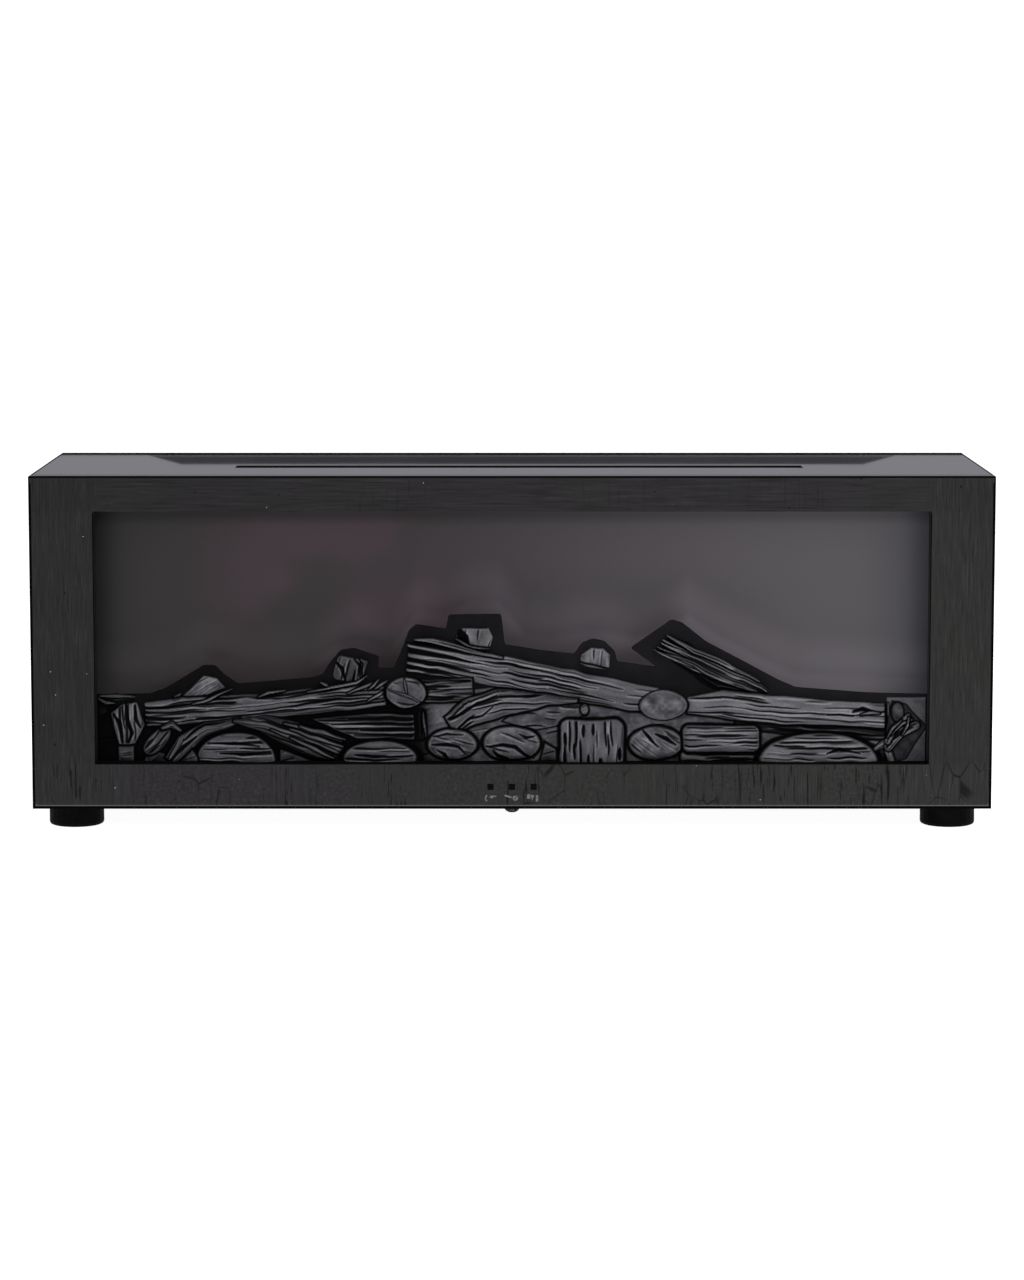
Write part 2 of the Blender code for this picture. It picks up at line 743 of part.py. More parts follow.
def duct_sections():
    """The two bent walls of the duct, from the side: the front one, and the scroll behind the wheel."""
    top = CEILING - GAP
    front_wall = SLOT_FRONT - DUCT_WALL / 2 - 0.0005
    back_wall = SLOT_BACK + DUCT_WALL / 2 + 0.0005
    tongue = [(front_wall, top), (front_wall, WHEEL_Z + 0.022), (front_wall - 0.002, WHEEL_Z + 0.008),
              (front_wall - 0.008, WHEEL_Z - 0.002)]
    scroll = [(back_wall, top), (back_wall, WHEEL_Z + 0.058)]
    for step in range(9):
        turn = radians(80 - 14 * step)
        radius = WHEEL_RADIUS + 0.0170 - 0.0014 * step
        scroll.append((WHEEL_Y + radius * cos(turn), WHEEL_Z + radius * sin(turn)))
    return strip(tongue, DUCT_WALL), strip(scroll, DUCT_WALL)


def blower_case(metal, nylon):
    tongue, scroll = duct_sections()
    length = SLOT_RIGHT - SLOT_LEFT
    plate("duct_front_wall", "side", [tongue], SLOT_LEFT, length, metal)
    plate("blower_scroll", "side", [scroll], SLOT_LEFT, length, metal)
    outline = [
        (SLOT_FRONT - 0.012, WHEEL_Z - 0.032),
        (WHEEL_Y + 0.030, WHEEL_Z - 0.032),
        (WHEEL_Y + 0.044, WHEEL_Z - 0.010),
        (WHEEL_Y + 0.044, WHEEL_Z + 0.018),
        (SLOT_BACK + 0.006, WHEEL_Z + 0.058),
        (SLOT_BACK + 0.006, CEILING - GAP),
        (SLOT_FRONT - 0.012, CEILING - GAP),
    ]
    bush_radius = 0.0060
    left_hole = circle(WHEEL_Y, WHEEL_Z, bush_radius + GAP, 16)
    right_hole = circle(WHEEL_Y, WHEEL_Z, 0.0045, 16)
    left_start = SLOT_LEFT - GAP - SHEET
    right_start = SLOT_RIGHT + GAP
    plate("blower_end_left", "side", [outline, left_hole], left_start, SHEET, metal)
    plate("blower_end_right", "side", [outline, right_hole], right_start, SHEET, metal)
    turned(
        "blower_bearing",
        [
            (BUSH_BORE_RADIUS, left_start - 0.004),
            (0.0085, left_start - 0.004),
            (0.0085, left_start - GAP),
            (bush_radius, left_start - GAP),
            (bush_radius, left_start + SHEET),
            (BUSH_BORE_RADIUS, left_start + SHEET),
        ],
        "x",
        (0.0, WHEEL_Y, WHEEL_Z),
        nylon,
        ring=True,
    )


def blower_motor(metal):
    """A shaded-pole motor: an upright core with its winding to one side, on two studs."""
    start = SLOT_RIGHT + GAP + SHEET + 0.010
    stack = 0.018
    core = block(
        "blower_motor",
        (start, WHEEL_Y - 0.020, WHEEL_Z - 0.026),
        (start + stack, WHEEL_Y + 0.024, WHEEL_Z + 0.022),
        metal,
    )
    axis = (start, WHEEL_Y, WHEEL_Z)
    cut(core, round_bar(SHAFT_BORE_RADIUS, -0.03, 0.03, "x", axis, metal, segments=16))
    stud_places = [(start, WHEEL_Y + offset, WHEEL_Z - 0.018) for offset in (-0.014, 0.018)]
    studs = [
        round_bar(0.0025, -0.010 + GAP, 0.004, "x", stud_place, metal, segments=10)
        for stud_place in stud_places
    ]
    behind_core = (start + stack / 2, 0.0, WHEEL_Z - 0.002)
    winding = round_bar(0.013, WHEEL_Y + 0.022, WHEEL_Y + 0.047, "y", behind_core, metal, segments=20)
    join(core, *studs, winding)


def heater(foil, nylon):
    """The finned heating element in the duct, with a cut-out on the duct's front wall."""
    low, high = WHEEL_Z + 0.038, WHEEL_Z + 0.054
    front, back = SLOT_FRONT + 0.0015, SLOT_BACK - 0.0015
    left, right = SLOT_LEFT + 0.030, SLOT_RIGHT - 0.030
    fin_gaps, wall = 28, 0.003
    pitch = (right - left - wall) / fin_gaps
    gaps = [
        rectangle(left + wall + pitch * n, left + pitch * (n + 1), front + wall, back - wall)
        for n in range(fin_gaps)
    ]
    outer = rectangle(left, right, front, back)
    plate("ptc_heater", "up", [outer] + gaps, low, high - low, foil)
    wall_front = SLOT_FRONT - DUCT_WALL - 0.0005 - GAP
    turned(
        "thermal_cutout",
        [(0.0, wall_front - 0.009), (0.005, wall_front - 0.009), (0.005, wall_front - 0.006),
         (0.0075, wall_front - 0.006), (0.0075, wall_front), (0.0, wall_front)],
        "y",
        (0.100, 0.0, WHEEL_Z + 0.050),
        nylon,
        segments=18,
    )


def outlet_guard(plastic):
    """The grid of thin bars across the slot in the top, over the heater."""
    guard_low, guard_thickness, bar = 0.2800, 0.0015, 0.0025
    guard_columns = 20
    guard_left, guard_right = SLOT_LEFT + GAP, SLOT_RIGHT - GAP
    cell = (guard_right - guard_left - bar) / guard_columns
    middle = (SLOT_FRONT + SLOT_BACK) / 2
    rows = ((SLOT_FRONT + bar, middle - bar / 2), (middle + bar / 2, SLOT_BACK - bar))
    cells = [
        rectangle(guard_left + bar + cell * n, guard_left + cell * (n + 1), near, far)
        for n in range(guard_columns)
        for near, far in rows
    ]
    rim = rectangle(guard_left, guard_right, SLOT_FRONT, SLOT_BACK)
    plate("outlet_guard", "up", [rim] + cells, guard_low, guard_thickness, plastic)


# ---------------------------------------------------------------- controls and mains parts


def controls(plastic, board, lens):
    """Three push buttons in the lower rail, the board behind them and the remote-control eye under it."""
    half = BUTTON_SIZE / 2
    collar_front = POCKET_FRONT + GAP
    for name, x in zip(("power_button", "flame_button", "heat_button"), button_places()):
        cap = block(
            name,
            (x - half, FRONT + 0.0003, BUTTON_Z - half),
            (x + half, collar_front + 0.001, BUTTON_Z + half),
            plastic,
        )
        collar = block(
            "collar",
            (x - half - 0.0014, collar_front, BUTTON_Z - half - 0.0014),
            (x + half + 0.0014, collar_front + 0.0015, BUTTON_Z + half + 0.0014),
            plastic,
        )
        join(cap, collar)
        turn_about(cap, (x, FRONT, BUTTON_Z), f"{name}_axis")
    board_front = POCKET_FRONT + 0.0065
    control_board = block(
        "control_board", (-0.034, board_front, 0.0255), (0.034, board_front + 0.0016, 0.0480), board
    )
    switches = [
        block(
            "switch",
            (x - 0.003, board_front - 0.0032, BUTTON_Z - 0.003),
            (x + 0.003, board_front + 0.0004, BUTTON_Z + 0.003),
            board,
        )
        for x in button_places()
    ]
    join(control_board, *switches)
    dome = [(0.0, -0.0040), (0.0030, -0.0037), (0.0050, -0.0027), (0.0062, -0.0012), (0.0066, 0.0)]
    stem = [(EYE_STEM_RADIUS, 0.0), (EYE_STEM_RADIUS, EYE_STEM_LENGTH), (0.0, EYE_STEM_LENGTH)]
    under_rail = (0.0, FRONT + EYE_SETBACK, FOOT_HEIGHT - GAP)
    turned("remote_eye", dome + stem, "z", under_rail, lens, segments=18)


def inlet_outline(half_width, half_height, corner):
    """A socket outline with its two upper corners cut off."""
    return [
        (INLET_X - half_width, SOCKET_Z - half_height),
        (INLET_X + half_width, SOCKET_Z - half_height),
        (INLET_X + half_width, SOCKET_Z + half_height - corner),
        (INLET_X + half_width - corner, SOCKET_Z + half_height),
        (INLET_X - half_width + corner, SOCKET_Z + half_height),
        (INLET_X - half_width, SOCKET_Z + half_height - corner),
    ]


def mains_inlet(plastic, metal):
    cover_back = COVER_FRONT + SHEET + GAP
    barrel_front, floor_back, flange_back = 0.1105, 0.1125, cover_back + 0.0018
    flange = plate(
        "mains_inlet",
        "front",
        [rectangle(INLET_X - 0.0170, INLET_X + 0.0170, SOCKET_Z - 0.0135, SOCKET_Z + 0.0135)],
        cover_back,
        flange_back - cover_back,
        plastic,
    )
    barrel = plate(
        "barrel", "front", [inlet_outline(0.0134, 0.0102, 0.0045)], barrel_front, 0.018, plastic
    )
    cavity = plate("cavity", "front", [inlet_outline(0.0120, 0.0084, 0.0042)], floor_back, 0.020, plastic)
    inlet = cut(join(flange, barrel), cavity)
    pin_width, pin_height, pin_back = 0.0020, 0.0045, 0.1225
    centres = [(INLET_X + 0.0070 * step, SOCKET_Z + 0.002 * (1 - 2 * abs(step))) for step in (-1, 0, 1)]
    slots = [
        block(
            "pin_slot",
            (x - pin_width / 2 - GAP, barrel_front - 0.002, z - pin_height / 2 - GAP),
            (x + pin_width / 2 + GAP, floor_back + 0.002, z + pin_height / 2 + GAP),
            plastic,
        )
        for x, z in centres
    ]
    cut(inlet, *slots)
    carrier = block(
        "inlet_pins",
        (INLET_X - 0.0100, barrel_front - GAP - 0.003, SOCKET_Z - 0.0070),
        (INLET_X + 0.0100, barrel_front - GAP, SOCKET_Z + 0.0070),
        metal,
    )
    pins = [
        block(
            "pin",
            (x - pin_width / 2, barrel_front - 0.002, z - pin_height / 2),
            (x + pin_width / 2, pin_back, z + pin_height / 2),
            metal,
        )
        for x, z in centres
    ]
    join(carrier, *pins)


def rocker_switch(plastic):
    cover_back = COVER_FRONT + SHEET + GAP
    flange = plate(
        "switch_housing",
        "front",
        [rectangle(SWITCH_X - 0.0085, SWITCH_X + 0.0085, SOCKET_Z - 0.0138, SOCKET_Z + 0.0138)],
        cover_back,
        0.0014,
        plastic,
    )
    shell = block(
        "shell",
        (SWITCH_X - 0.0066, 0.1060, SOCKET_Z - 0.0115),
        (SWITCH_X + 0.0066, cover_back + 0.0007, SOCKET_Z + 0.0115),
        plastic,
    )
    well = block(
        "well",
        (SWITCH_X - 0.0054, 0.1080, SOCKET_Z - 0.0105),
        (SWITCH_X + 0.0054, cover_back + 0.004, SOCKET_Z + 0.0105),
        plastic,
    )
    cut(join(flange, shell), well)
    face = [
        (-0.0050, -0.0080),
        (0.0068, -0.0092),
        (0.0050, 0.0),
        (0.0068, 0.0092),
        (-0.0050, 0.0080),
    ]
    rocker = plate("switch_rocker", "side", [face], -0.0050, 0.0100, plastic)
    rocker.data.transform(Matrix.Rotation(-ROCKER_TILT, 4, "Z"))
    pivot = (SWITCH_X, ROCKER_PIVOT_Y, SOCKET_Z)
    rocker.location = pivot
    turn_about(rocker, pivot, "switch_axis")


def power_board(board, nylon):
    """The heater's control board on a tray of four posts, at the rear left."""
    left, right, front, back = -0.300, -0.170, 0.030, 0.105
    tray_top = FLOOR + 0.0015
    board_low = FLOOR + 0.0080
    border = 0.005
    tray = block(
        "board_tray",
        (left - border, front - border, FLOOR),
        (right + border, back + border, tray_top),
        nylon,
    )
    posts = [
        round_bar(0.004, FLOOR + 0.0005, board_low - GAP, "z", (x, y, 0.0), nylon, segments=10)
        for x in (left + 0.006, right - 0.006)
        for y in (front + 0.006, back - 0.006)
    ]
    join(tray, *posts)
    circuit = block("power_board", (left, front, board_low), (right, back, board_low + 0.0016), board)
    top = board_low + 0.0010
    # Each box is its left, front, width, depth and height, from the board's front left corner.
    boxes = (
        (0.010, 0.010, 0.019, 0.016, 0.016),  # relay
        (0.034, 0.010, 0.019, 0.016, 0.016),  # relay
        (0.012, 0.039, 0.032, 0.028, 0.026),  # transformer
        (0.070, 0.059, 0.052, 0.011, 0.014),  # terminals
        (0.085, 0.008, 0.035, 0.012, 0.028),  # heat sink
    )
    components = [
        block(
            "component",
            (left + from_left, front + from_front, top),
            (left + from_left + width, front + from_front + depth, top + height),
            board,
        )
        for from_left, from_front, width, depth, height in boxes
    ]
    capacitor_place = (left + 0.068, back - 0.022, 0.0)
    capacitor = round_bar(0.008, top, top + 0.018, "z", capacitor_place, board, segments=16)
    join(circuit, *components, capacitor)


def build():
    clear_scene()
    finish = make_materials()
    front_frame(finish["frame_black"])
    top_panel(finish["case_black"])
    side_panels(finish["case_black"])
    base_panel(finish["case_black"])
    rear_cover(finish["case_black"])
    cover_screws(finish["bare_steel"])
    corner_posts(finish["bare_steel"])
    feet(finish["rubber_black"], finish["bare_steel"])
    log_panel(finish["log_charcoal"])
    firebox_walls(finish["inner_black"], finish["screen_smoke"])
    led_light(finish["aluminium"], finish["board_green"])
    flicker_rotor(finish["bare_steel"], finish["aluminium"])
    flicker_supports(finish["bare_steel"], finish["grey_plastic"], finish["white_nylon"])
    blower_wheel(finish["bare_steel"], finish["aluminium"])
    blower_case(finish["bare_steel"], finish["white_nylon"])
    blower_motor(finish["motor_grey"])
    heater(finish["aluminium"], finish["white_nylon"])
    outlet_guard(finish["inner_black"])
    controls(finish["black_plastic"], finish["board_green"], finish["smoked_lens"])
    mains_inlet(finish["black_plastic"], finish["bare_steel"])
    rocker_switch(finish["black_plastic"])
    power_board(finish["board_green"], finish["white_nylon"])


build()
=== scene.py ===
"""The looks of the electric fireplace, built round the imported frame. Lengths are in metres."""

import json
from math import cos, pi, radians, sin

import bmesh
import bpy
import numpy as np
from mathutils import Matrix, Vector


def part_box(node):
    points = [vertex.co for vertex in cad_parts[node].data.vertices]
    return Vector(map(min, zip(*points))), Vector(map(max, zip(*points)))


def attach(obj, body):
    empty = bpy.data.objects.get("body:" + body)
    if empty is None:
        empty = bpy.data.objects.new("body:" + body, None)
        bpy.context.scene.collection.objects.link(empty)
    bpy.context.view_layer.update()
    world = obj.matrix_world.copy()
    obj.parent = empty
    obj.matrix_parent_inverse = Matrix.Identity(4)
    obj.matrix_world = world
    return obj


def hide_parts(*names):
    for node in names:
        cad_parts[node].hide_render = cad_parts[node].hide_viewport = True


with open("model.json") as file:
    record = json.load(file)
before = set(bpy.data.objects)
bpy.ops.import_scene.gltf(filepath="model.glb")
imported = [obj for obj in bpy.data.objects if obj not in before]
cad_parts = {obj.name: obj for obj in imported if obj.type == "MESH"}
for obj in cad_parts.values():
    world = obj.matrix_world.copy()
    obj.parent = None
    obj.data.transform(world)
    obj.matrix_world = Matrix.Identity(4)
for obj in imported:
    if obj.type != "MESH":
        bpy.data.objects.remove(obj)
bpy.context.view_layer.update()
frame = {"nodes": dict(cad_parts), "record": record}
NODES = frame["nodes"]

# The case's and the log panel's corners, and the front plane, from the frame.
CASE_LOW, CASE_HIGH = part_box("front_frame")
FRONT = CASE_LOW.y
PANEL_LOW, PANEL_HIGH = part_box("log_panel")
BUTTONS = ("power_button", "flame_button", "heat_button")

# The opening in the frame, and where the plum cast lies on the screen.
OPENING_HALF_WIDTH = 0.347
OPENING_LOW = 0.056
OPENING_HIGH = 0.267
PLUM_FROM_MIDDLE = 0.15
# A colour ramp can't have more stops than this.
SKYLINE_STOPS = 32

# Camera: a long lens, a little above the case and looking down at it.
CAMERA_DISTANCE = 3.3045
CAMERA_HEIGHT = 0.5679
CAMERA_PITCH = radians(7.036)
LENS_MM = 112.8
SENSOR_MM = 36.0

# Stage. The cards stand behind the case, where only the glossy top panel mirrors them. Each has its
# left, right and height along its low edge, and then along its top edge.
WORLD_LIGHT = 0.36
BACKGROUND_WHITE = 1.08
FLOOR_RADIUS = 14.0
FLOOR_GLOW = 0.95
CARD_Y = 0.250
GREY_CARD = ((-0.376, 0.394, 0.2965), (-0.304, 0.323, 0.3159))
BLACK_FOOT = ((-0.430, 0.430, 0.2965), (-0.430, 0.430, 0.3074))

# Printed marks under the buttons.
MARK_Z = 0.0271
INK_THICKNESS = 0.00006


# ---------------------------------------------------------------- material helpers


def new_material(name):
    material = bpy.data.materials.new(name)
    material.use_nodes = True
    return material, material.node_tree, material.node_tree.nodes["Principled BSDF"]


def tree_of(*values):
    """The node tree of the first socket among the values."""
    return next(value.id_data for value in values if isinstance(value, bpy.types.NodeSocket))


def with_alpha(colour):
    """The value of a colour socket, from three numbers, or from one for a grey."""
    return (*colour, 1.0) if isinstance(colour, tuple) else (colour, colour, colour, 1.0)


def set_input(socket, value):
    """Links the socket if the value is a socket too, and sets it if not."""
    if isinstance(value, bpy.types.NodeSocket):
        socket.id_data.links.new(value, socket)
    else:
        socket.default_value = with_alpha(value) if socket.type == "RGBA" else value


def add(tree, kind, inputs=None, **settings):
    node = tree.nodes.new("ShaderNode" + kind)
    for name, value in settings.items():
        setattr(node, name, value)
    for key, value in (inputs or {}).items():
        set_input(node.inputs[key], value)
    return node


def place(tree, scale=(1.0, 1.0, 1.0)):
    """Object coordinates, stretched by scale."""
    inputs = {"Vector": add(tree, "TexCoord").outputs["Object"], "Scale": scale}
    return add(tree, "Mapping", inputs).outputs["Vector"]


def axis_of(tree, letter):
    """One object coordinate, in metres."""
    coordinates = add(tree, "TexCoord").outputs["Object"]
    return add(tree, "SeparateXYZ", {"Vector": coordinates}).outputs[letter]


def noise(where, scale, detail=3.0, roughness=0.55, distortion=0.0):
    inputs = {
        "Vector": where,
        "Scale": scale,
        "Detail": detail,
        "Roughness": roughness,
        "Distortion": distortion,
    }
    return add(where.id_data, "TexNoise", inputs).outputs["Fac"]


def cells(tree, scale, stretch=(1.0, 1.0, 1.0), feature="F1"):
    """How far a point is from the nearest of many scattered points, or from the nearest cell's edge."""
    inputs = {"Vector": place(tree, stretch), "Scale": scale}
    return add(tree, "TexVoronoi", inputs, feature=feature).outputs["Distance"]


def ramp(value, stops):
    """A colour ramp. Each stop is a position and a grey level or a colour."""
    node = add(value.id_data, "ValToRGB", {"Fac": value})
    elements = node.color_ramp.elements
    while len(elements) < len(stops):
        elements.new(0.5)
    for element, (position, colour) in zip(elements, stops):
        element.position = position
        element.color = with_alpha(colour)
    return node.outputs["Color"]


def between(value, low, high, to_low=0.0, to_high=1.0):
    """Maps a value from one range to another, held at both ends."""
    inputs = {
        "Value": value,
        "From Min": low,
        "From Max": high,
        "To Min": to_low,
        "To Max": to_high,
    }
    return add(value.id_data, "MapRange", inputs, interpolation_type="SMOOTHSTEP").outputs["Result"]


def between_straight(value, low, high):
    """Maps a value to 0..1 in a straight line, held at both ends."""
    inputs = {"Value": value, "From Min": low, "From Max": high}
    return add(value.id_data, "MapRange", inputs).outputs["Result"]


def blend(amount, first, second, kind="MIX"):
    tree = tree_of(amount, first, second)
    inputs = {0: amount, 6: first, 7: second}
    return add(tree, "Mix", inputs, data_type="RGBA", blend_type=kind).outputs[2]


def math(operation, first, *others):
    """Works through the values from left to right with one operation."""
    tree = tree_of(first, *others)
    for other in others or (0.0,):
        first = add(tree, "Math", {0: first, 1: other}, operation=operation).outputs[0]
    return first


def times(*factors):
    return math("MULTIPLY", *factors)


def highest(*values):
    return math("MAXIMUM", *values)


def bump(shader, height, distance, strength=1.0):
    node = add(shader.id_data, "Bump", {"Height": height, "Distance": distance, "Strength": strength})
    set_input(shader.inputs["Normal"], node.outputs["Normal"])


def set_shader(shader, colour, roughness, specular=0.5, metallic=0.0):
    """Colour and roughness may be sockets. The other values are plain numbers."""
    set_input(shader.inputs["Base Color"], colour)
    set_input(shader.inputs["Roughness"], roughness)
    shader.inputs["Specular IOR Level"].default_value = specular
    shader.inputs["Metallic"].default_value = metallic


# ---------------------------------------------------------------- materials

LINE_BLACK = 0.0006
ENAMEL_ROUGHNESS = 0.04


def outside(tree, half_width, low, high):
    """How far a point of the front is outside a rectangle about the middle, or minus how far inside it."""
    beyond_side = math("SUBTRACT", math("ABSOLUTE", axis_of(tree, "X")), half_width)
    off_middle = math("ABSOLUTE", math("SUBTRACT", axis_of(tree, "Z"), (low + high) / 2))
    beyond_end = math("SUBTRACT", off_middle, (high - low) / 2)
    return highest(beyond_side, beyond_end)


def frame_grain(tree):
    """Wood grain under the lacquer: upright on the stiles and lower rail, level on the top rail."""
    upright = noise(place(tree, (900.0, 40.0, 40.0)), 1.0, 5.0, 0.7)
    level = noise(place(tree, (26.0, 40.0, 620.0)), 1.0, 5.0, 0.7)
    flat = noise(place(tree), 330.0, 4.0, 0.75)
    on_stile = between(math("ABSOLUTE", axis_of(tree, "X")), 0.340, 0.350)
    on_lower_rail = between(axis_of(tree, "Z"), 0.060, 0.052)
    patches = between(noise(place(tree, (1.0, 1.0, 0.1)), 11.0, 2.0), 0.44, 0.56)
    rail_grain = blend(patches, flat, upright)
    grain = blend(on_stile, blend(on_lower_rail, level, rail_grain), upright)
    return grain, on_lower_rail


def frame_marks(tree, on_lower_rail):
    """Clusters of upright hairlines, a few long scratches and small dents, all dark."""
    hair = noise(place(tree, (520.0, 60.0, 34.0)), 1.0, 2.0, 0.5, 0.6)
    cluster = between(noise(place(tree, (1.0, 1.0, 0.2)), 13.0, 2.0), 0.46, 0.56)
    strength = between(on_lower_rail, 0.0, 1.0, 0.20, 0.85)
    hairline = times(between(hair, 0.42, 0.35), cluster, strength)
    web = between(cells(tree, 46.0, (1.6, 1.0, 0.8), "DISTANCE_TO_EDGE"), 0.036, 0.014)
    here = between(noise(place(tree), 17.0, 2.0), 0.52, 0.62)
    scratch = times(web, here, on_lower_rail, 0.75)
    dent = times(between(cells(tree, 60.0, (1.0, 1.0, 0.7)), 0.060, 0.040), 0.85)
    return highest(hairline, scratch, dent)


def outer_line(outer, up):
    """The black line round the frame's front, thinner along the top."""
    near_top = between(up, CASE_HIGH.z - 0.0060, CASE_HIGH.z - 0.0040)
    wide = between(outer, 0.0025, 0.0020)
    narrow = between(outer, 0.0014, 0.0009)
    return blend(near_top, wide, narrow)


def opening_shade_line(tree):
    """Painted shade: a black line at the sides and foot of the opening, and darker faces behind it, most at
    the left.
    """
    up = axis_of(tree, "Z")
    edge = between(outside(tree, OPENING_HALF_WIDTH, OPENING_LOW, OPENING_HIGH), 0.0008, 0.0002)
    below_top = between(up, OPENING_HIGH - 0.0010, OPENING_HIGH - 0.0020)
    sill = between(up, OPENING_LOW + 0.0010, OPENING_LOW + 0.0005)
    near_front = between(axis_of(tree, "Y"), FRONT + 0.0040, FRONT + 0.0030)
    behind = between(axis_of(tree, "X"), -0.3, 0.3, 0.55, 0.05)
    return times(edge, below_top, highest(sill, near_front, behind))


def frame_lacquer():
    """Black lacquer over a board whose grain still shows, with ticks and specks of dust in it."""
    material, tree, shader = new_material("frame_lacquer")
    up = axis_of(tree, "Z")
    grain, on_lower_rail = frame_grain(tree)
    tone = ramp(grain, [(0.32, 0.0125), (0.46, 0.0195), (0.56, 0.0222), (0.70, 0.0330)])
    hue = noise(place(tree), 5.0, 2.0)
    across = between_straight(axis_of(tree, "X"), CASE_LOW.x, CASE_HIGH.x)
    # Besides a random tint, painted light makes the lacquer paler towards the right and on the lower rail,
    # and a little darker on the top rail.
    for change in (
        ramp(hue, [(0.35, (1.05, 0.96, 1.06)), (0.65, (0.98, 1.00, 0.96))]),
        ramp(across, [(0.0, 0.93), (1.0, 1.10)]),
        between(on_lower_rail, 0.0, 1.0, 1.0, 1.13),
        between(up, OPENING_HIGH - 0.005, OPENING_HIGH + 0.003, 1.0, 0.91),
    ):
        tone = blend(1.0, tone, change, "MULTIPLY")
    speck = times(between(cells(tree, 62.0), 0.036, 0.022), 0.9)
    marked = blend(frame_marks(tree, on_lower_rail), blend(speck, tone, 0.30), 0.003)

    # A thin painted highlight along the bottom edge, the black lines round the frame, and painted shade at
    # the edges of its opening.
    outer = times(outside(tree, CASE_HIGH.x, CASE_LOW.z, CASE_HIGH.z), -1.0)
    low = between(up, CASE_LOW.z + 0.0050, CASE_LOW.z + 0.0040)
    edge_highlight = times(between(outer, 0.0023, 0.0027), between(outer, 0.0036, 0.0031), low, 0.55)
    top_face = between(up, CASE_HIGH.z - 0.0005, CASE_HIGH.z - 0.0002)
    further_back = math("SUBTRACT", axis_of(tree, "Y"), times(top_face, 0.0060))
    on_face = between(further_back, FRONT + 0.0020, FRONT + 0.0014)
    line = highest(times(outer_line(outer, up), on_face), opening_shade_line(tree))
    inked = blend(line, blend(edge_highlight, marked, 0.13), LINE_BLACK)

    # The frame's top edge shines like the panel behind it.
    on_top = times(top_face, math("SUBTRACT", 1.0, on_face))
    off_top = math("SUBTRACT", 1.0, on_top)
    rough = highest(between(grain, 0.2, 0.8, 0.56, 0.72), line)
    rough = math("ADD", times(off_top, rough), times(on_top, ENAMEL_ROUGHNESS))
    set_shader(shader, blend(on_top, inked, (0.013, 0.013, 0.014)), rough, 0.04)
    bump(shader, times(grain, off_top), 0.00015, 0.6)
    return material


def case_enamel():
    """Glossy black stove enamel with a slight cloudiness and a dull line along its side edges."""
    material, tree, shader = new_material("case_enamel")
    cloud = noise(place(tree), 6.0, 4.0)
    colour = ramp(cloud, [(0.3, (0.0100, 0.0100, 0.0115)), (0.7, (0.0150, 0.0148, 0.0170))])
    from_middle = math("ABSOLUTE", axis_of(tree, "X"))
    edge = between(from_middle, CASE_HIGH.x - 0.0020, CASE_HIGH.x - 0.0015)
    high = between(axis_of(tree, "Z"), CASE_HIGH.z - 0.0012, CASE_HIGH.z - 0.0006)
    dull = times(edge, high)
    gloss = between(cloud, 0.3, 0.7, ENAMEL_ROUGHNESS - 0.005, ENAMEL_ROUGHNESS + 0.010)
    set_shader(shader, blend(dull, colour, LINE_BLACK), highest(gloss, dull), 0.18)
    bump(shader, noise(place(tree, (1.0, 3.0, 1.0)), 9.0, 2.0), 0.0002, 0.01)
    return material


def screen_acrylic():
    """Smoked acrylic, darker to the left and paler to the right as a painted reflection, with a faint plum
    cast in places.
    """
    material, tree, shader = new_material("screen_acrylic")
    across, up = axis_of(tree, "X"), axis_of(tree, "Z")
    reflection_tones = [
        (0.02, (0.0295, 0.0270, 0.0278)),
        (0.18, (0.0275, 0.0227, 0.0245)),
        (0.38, (0.0350, 0.0290, 0.0323)),
        (0.50, (0.0485, 0.0415, 0.0480)),
        (0.72, (0.0785, 0.0700, 0.0785)),
        (0.94, (0.1040, 0.0960, 0.1070)),
        (1.00, (0.1250, 0.1250, 0.1480)),
    ]
    tone = ramp(between_straight(across, -0.36, 0.36), reflection_tones)
    off_plum = math("ABSOLUTE", math("ADD", across, PLUM_FROM_MIDDLE))
    blotch = noise(place(tree, (1.0, 1.0, 1.6)), 7.0, 2.0)
    plum = times(
        between(off_plum, 0.15, 0.03),
        between(up, 0.145, 0.180),
        between(blotch, 0.42, 0.62, 0.0, 0.75),
    )
    cast = blend(plum, tone, (0.056, 0.034, 0.045))

    # Painted shade darkens it towards its sides and top, where the frame shades it, and painted light
    # brightens it just above the logs, where the log plate shades it.
    top_shade = between(across, -0.25, 0.25, 0.38, 0.62)
    above_logs = math("SUBTRACT", up, skyline_height(across))
    shade = times(
        between(math("ABSOLUTE", across), 0.352, 0.325, 0.60, 1.0),
        between(up, 0.2595, 0.2475, top_shade, 1.0),
        between(above_logs, 0.0, 0.048, 2.0, 1.0),
        between(above_logs, 0.0, 0.011, 1.45, 1.0),
    )
    set_shader(shader, blend(1.0, cast, shade, "MULTIPLY"), 0.35, 0.2)
    bump(shader, noise(place(tree), 600.0, 2.0), 0.00002, 0.3)
    return material


def skyline_height(across):
    """The height of the logs' top edge as a colour ramp over the width, in metres."""
    line_x, line_z = zip(*sorted(SKYLINE))
    stops = []
    for t in np.linspace(0.0, 1.0, SKYLINE_STOPS):
        x = PANEL_LOW.x + t * (PANEL_HIGH.x - PANEL_LOW.x)
        stops.append((t, float(np.interp(x / MM, line_x, line_z)) * MM))
    return ramp(between_straight(across, PANEL_LOW.x, PANEL_HIGH.x), stops)


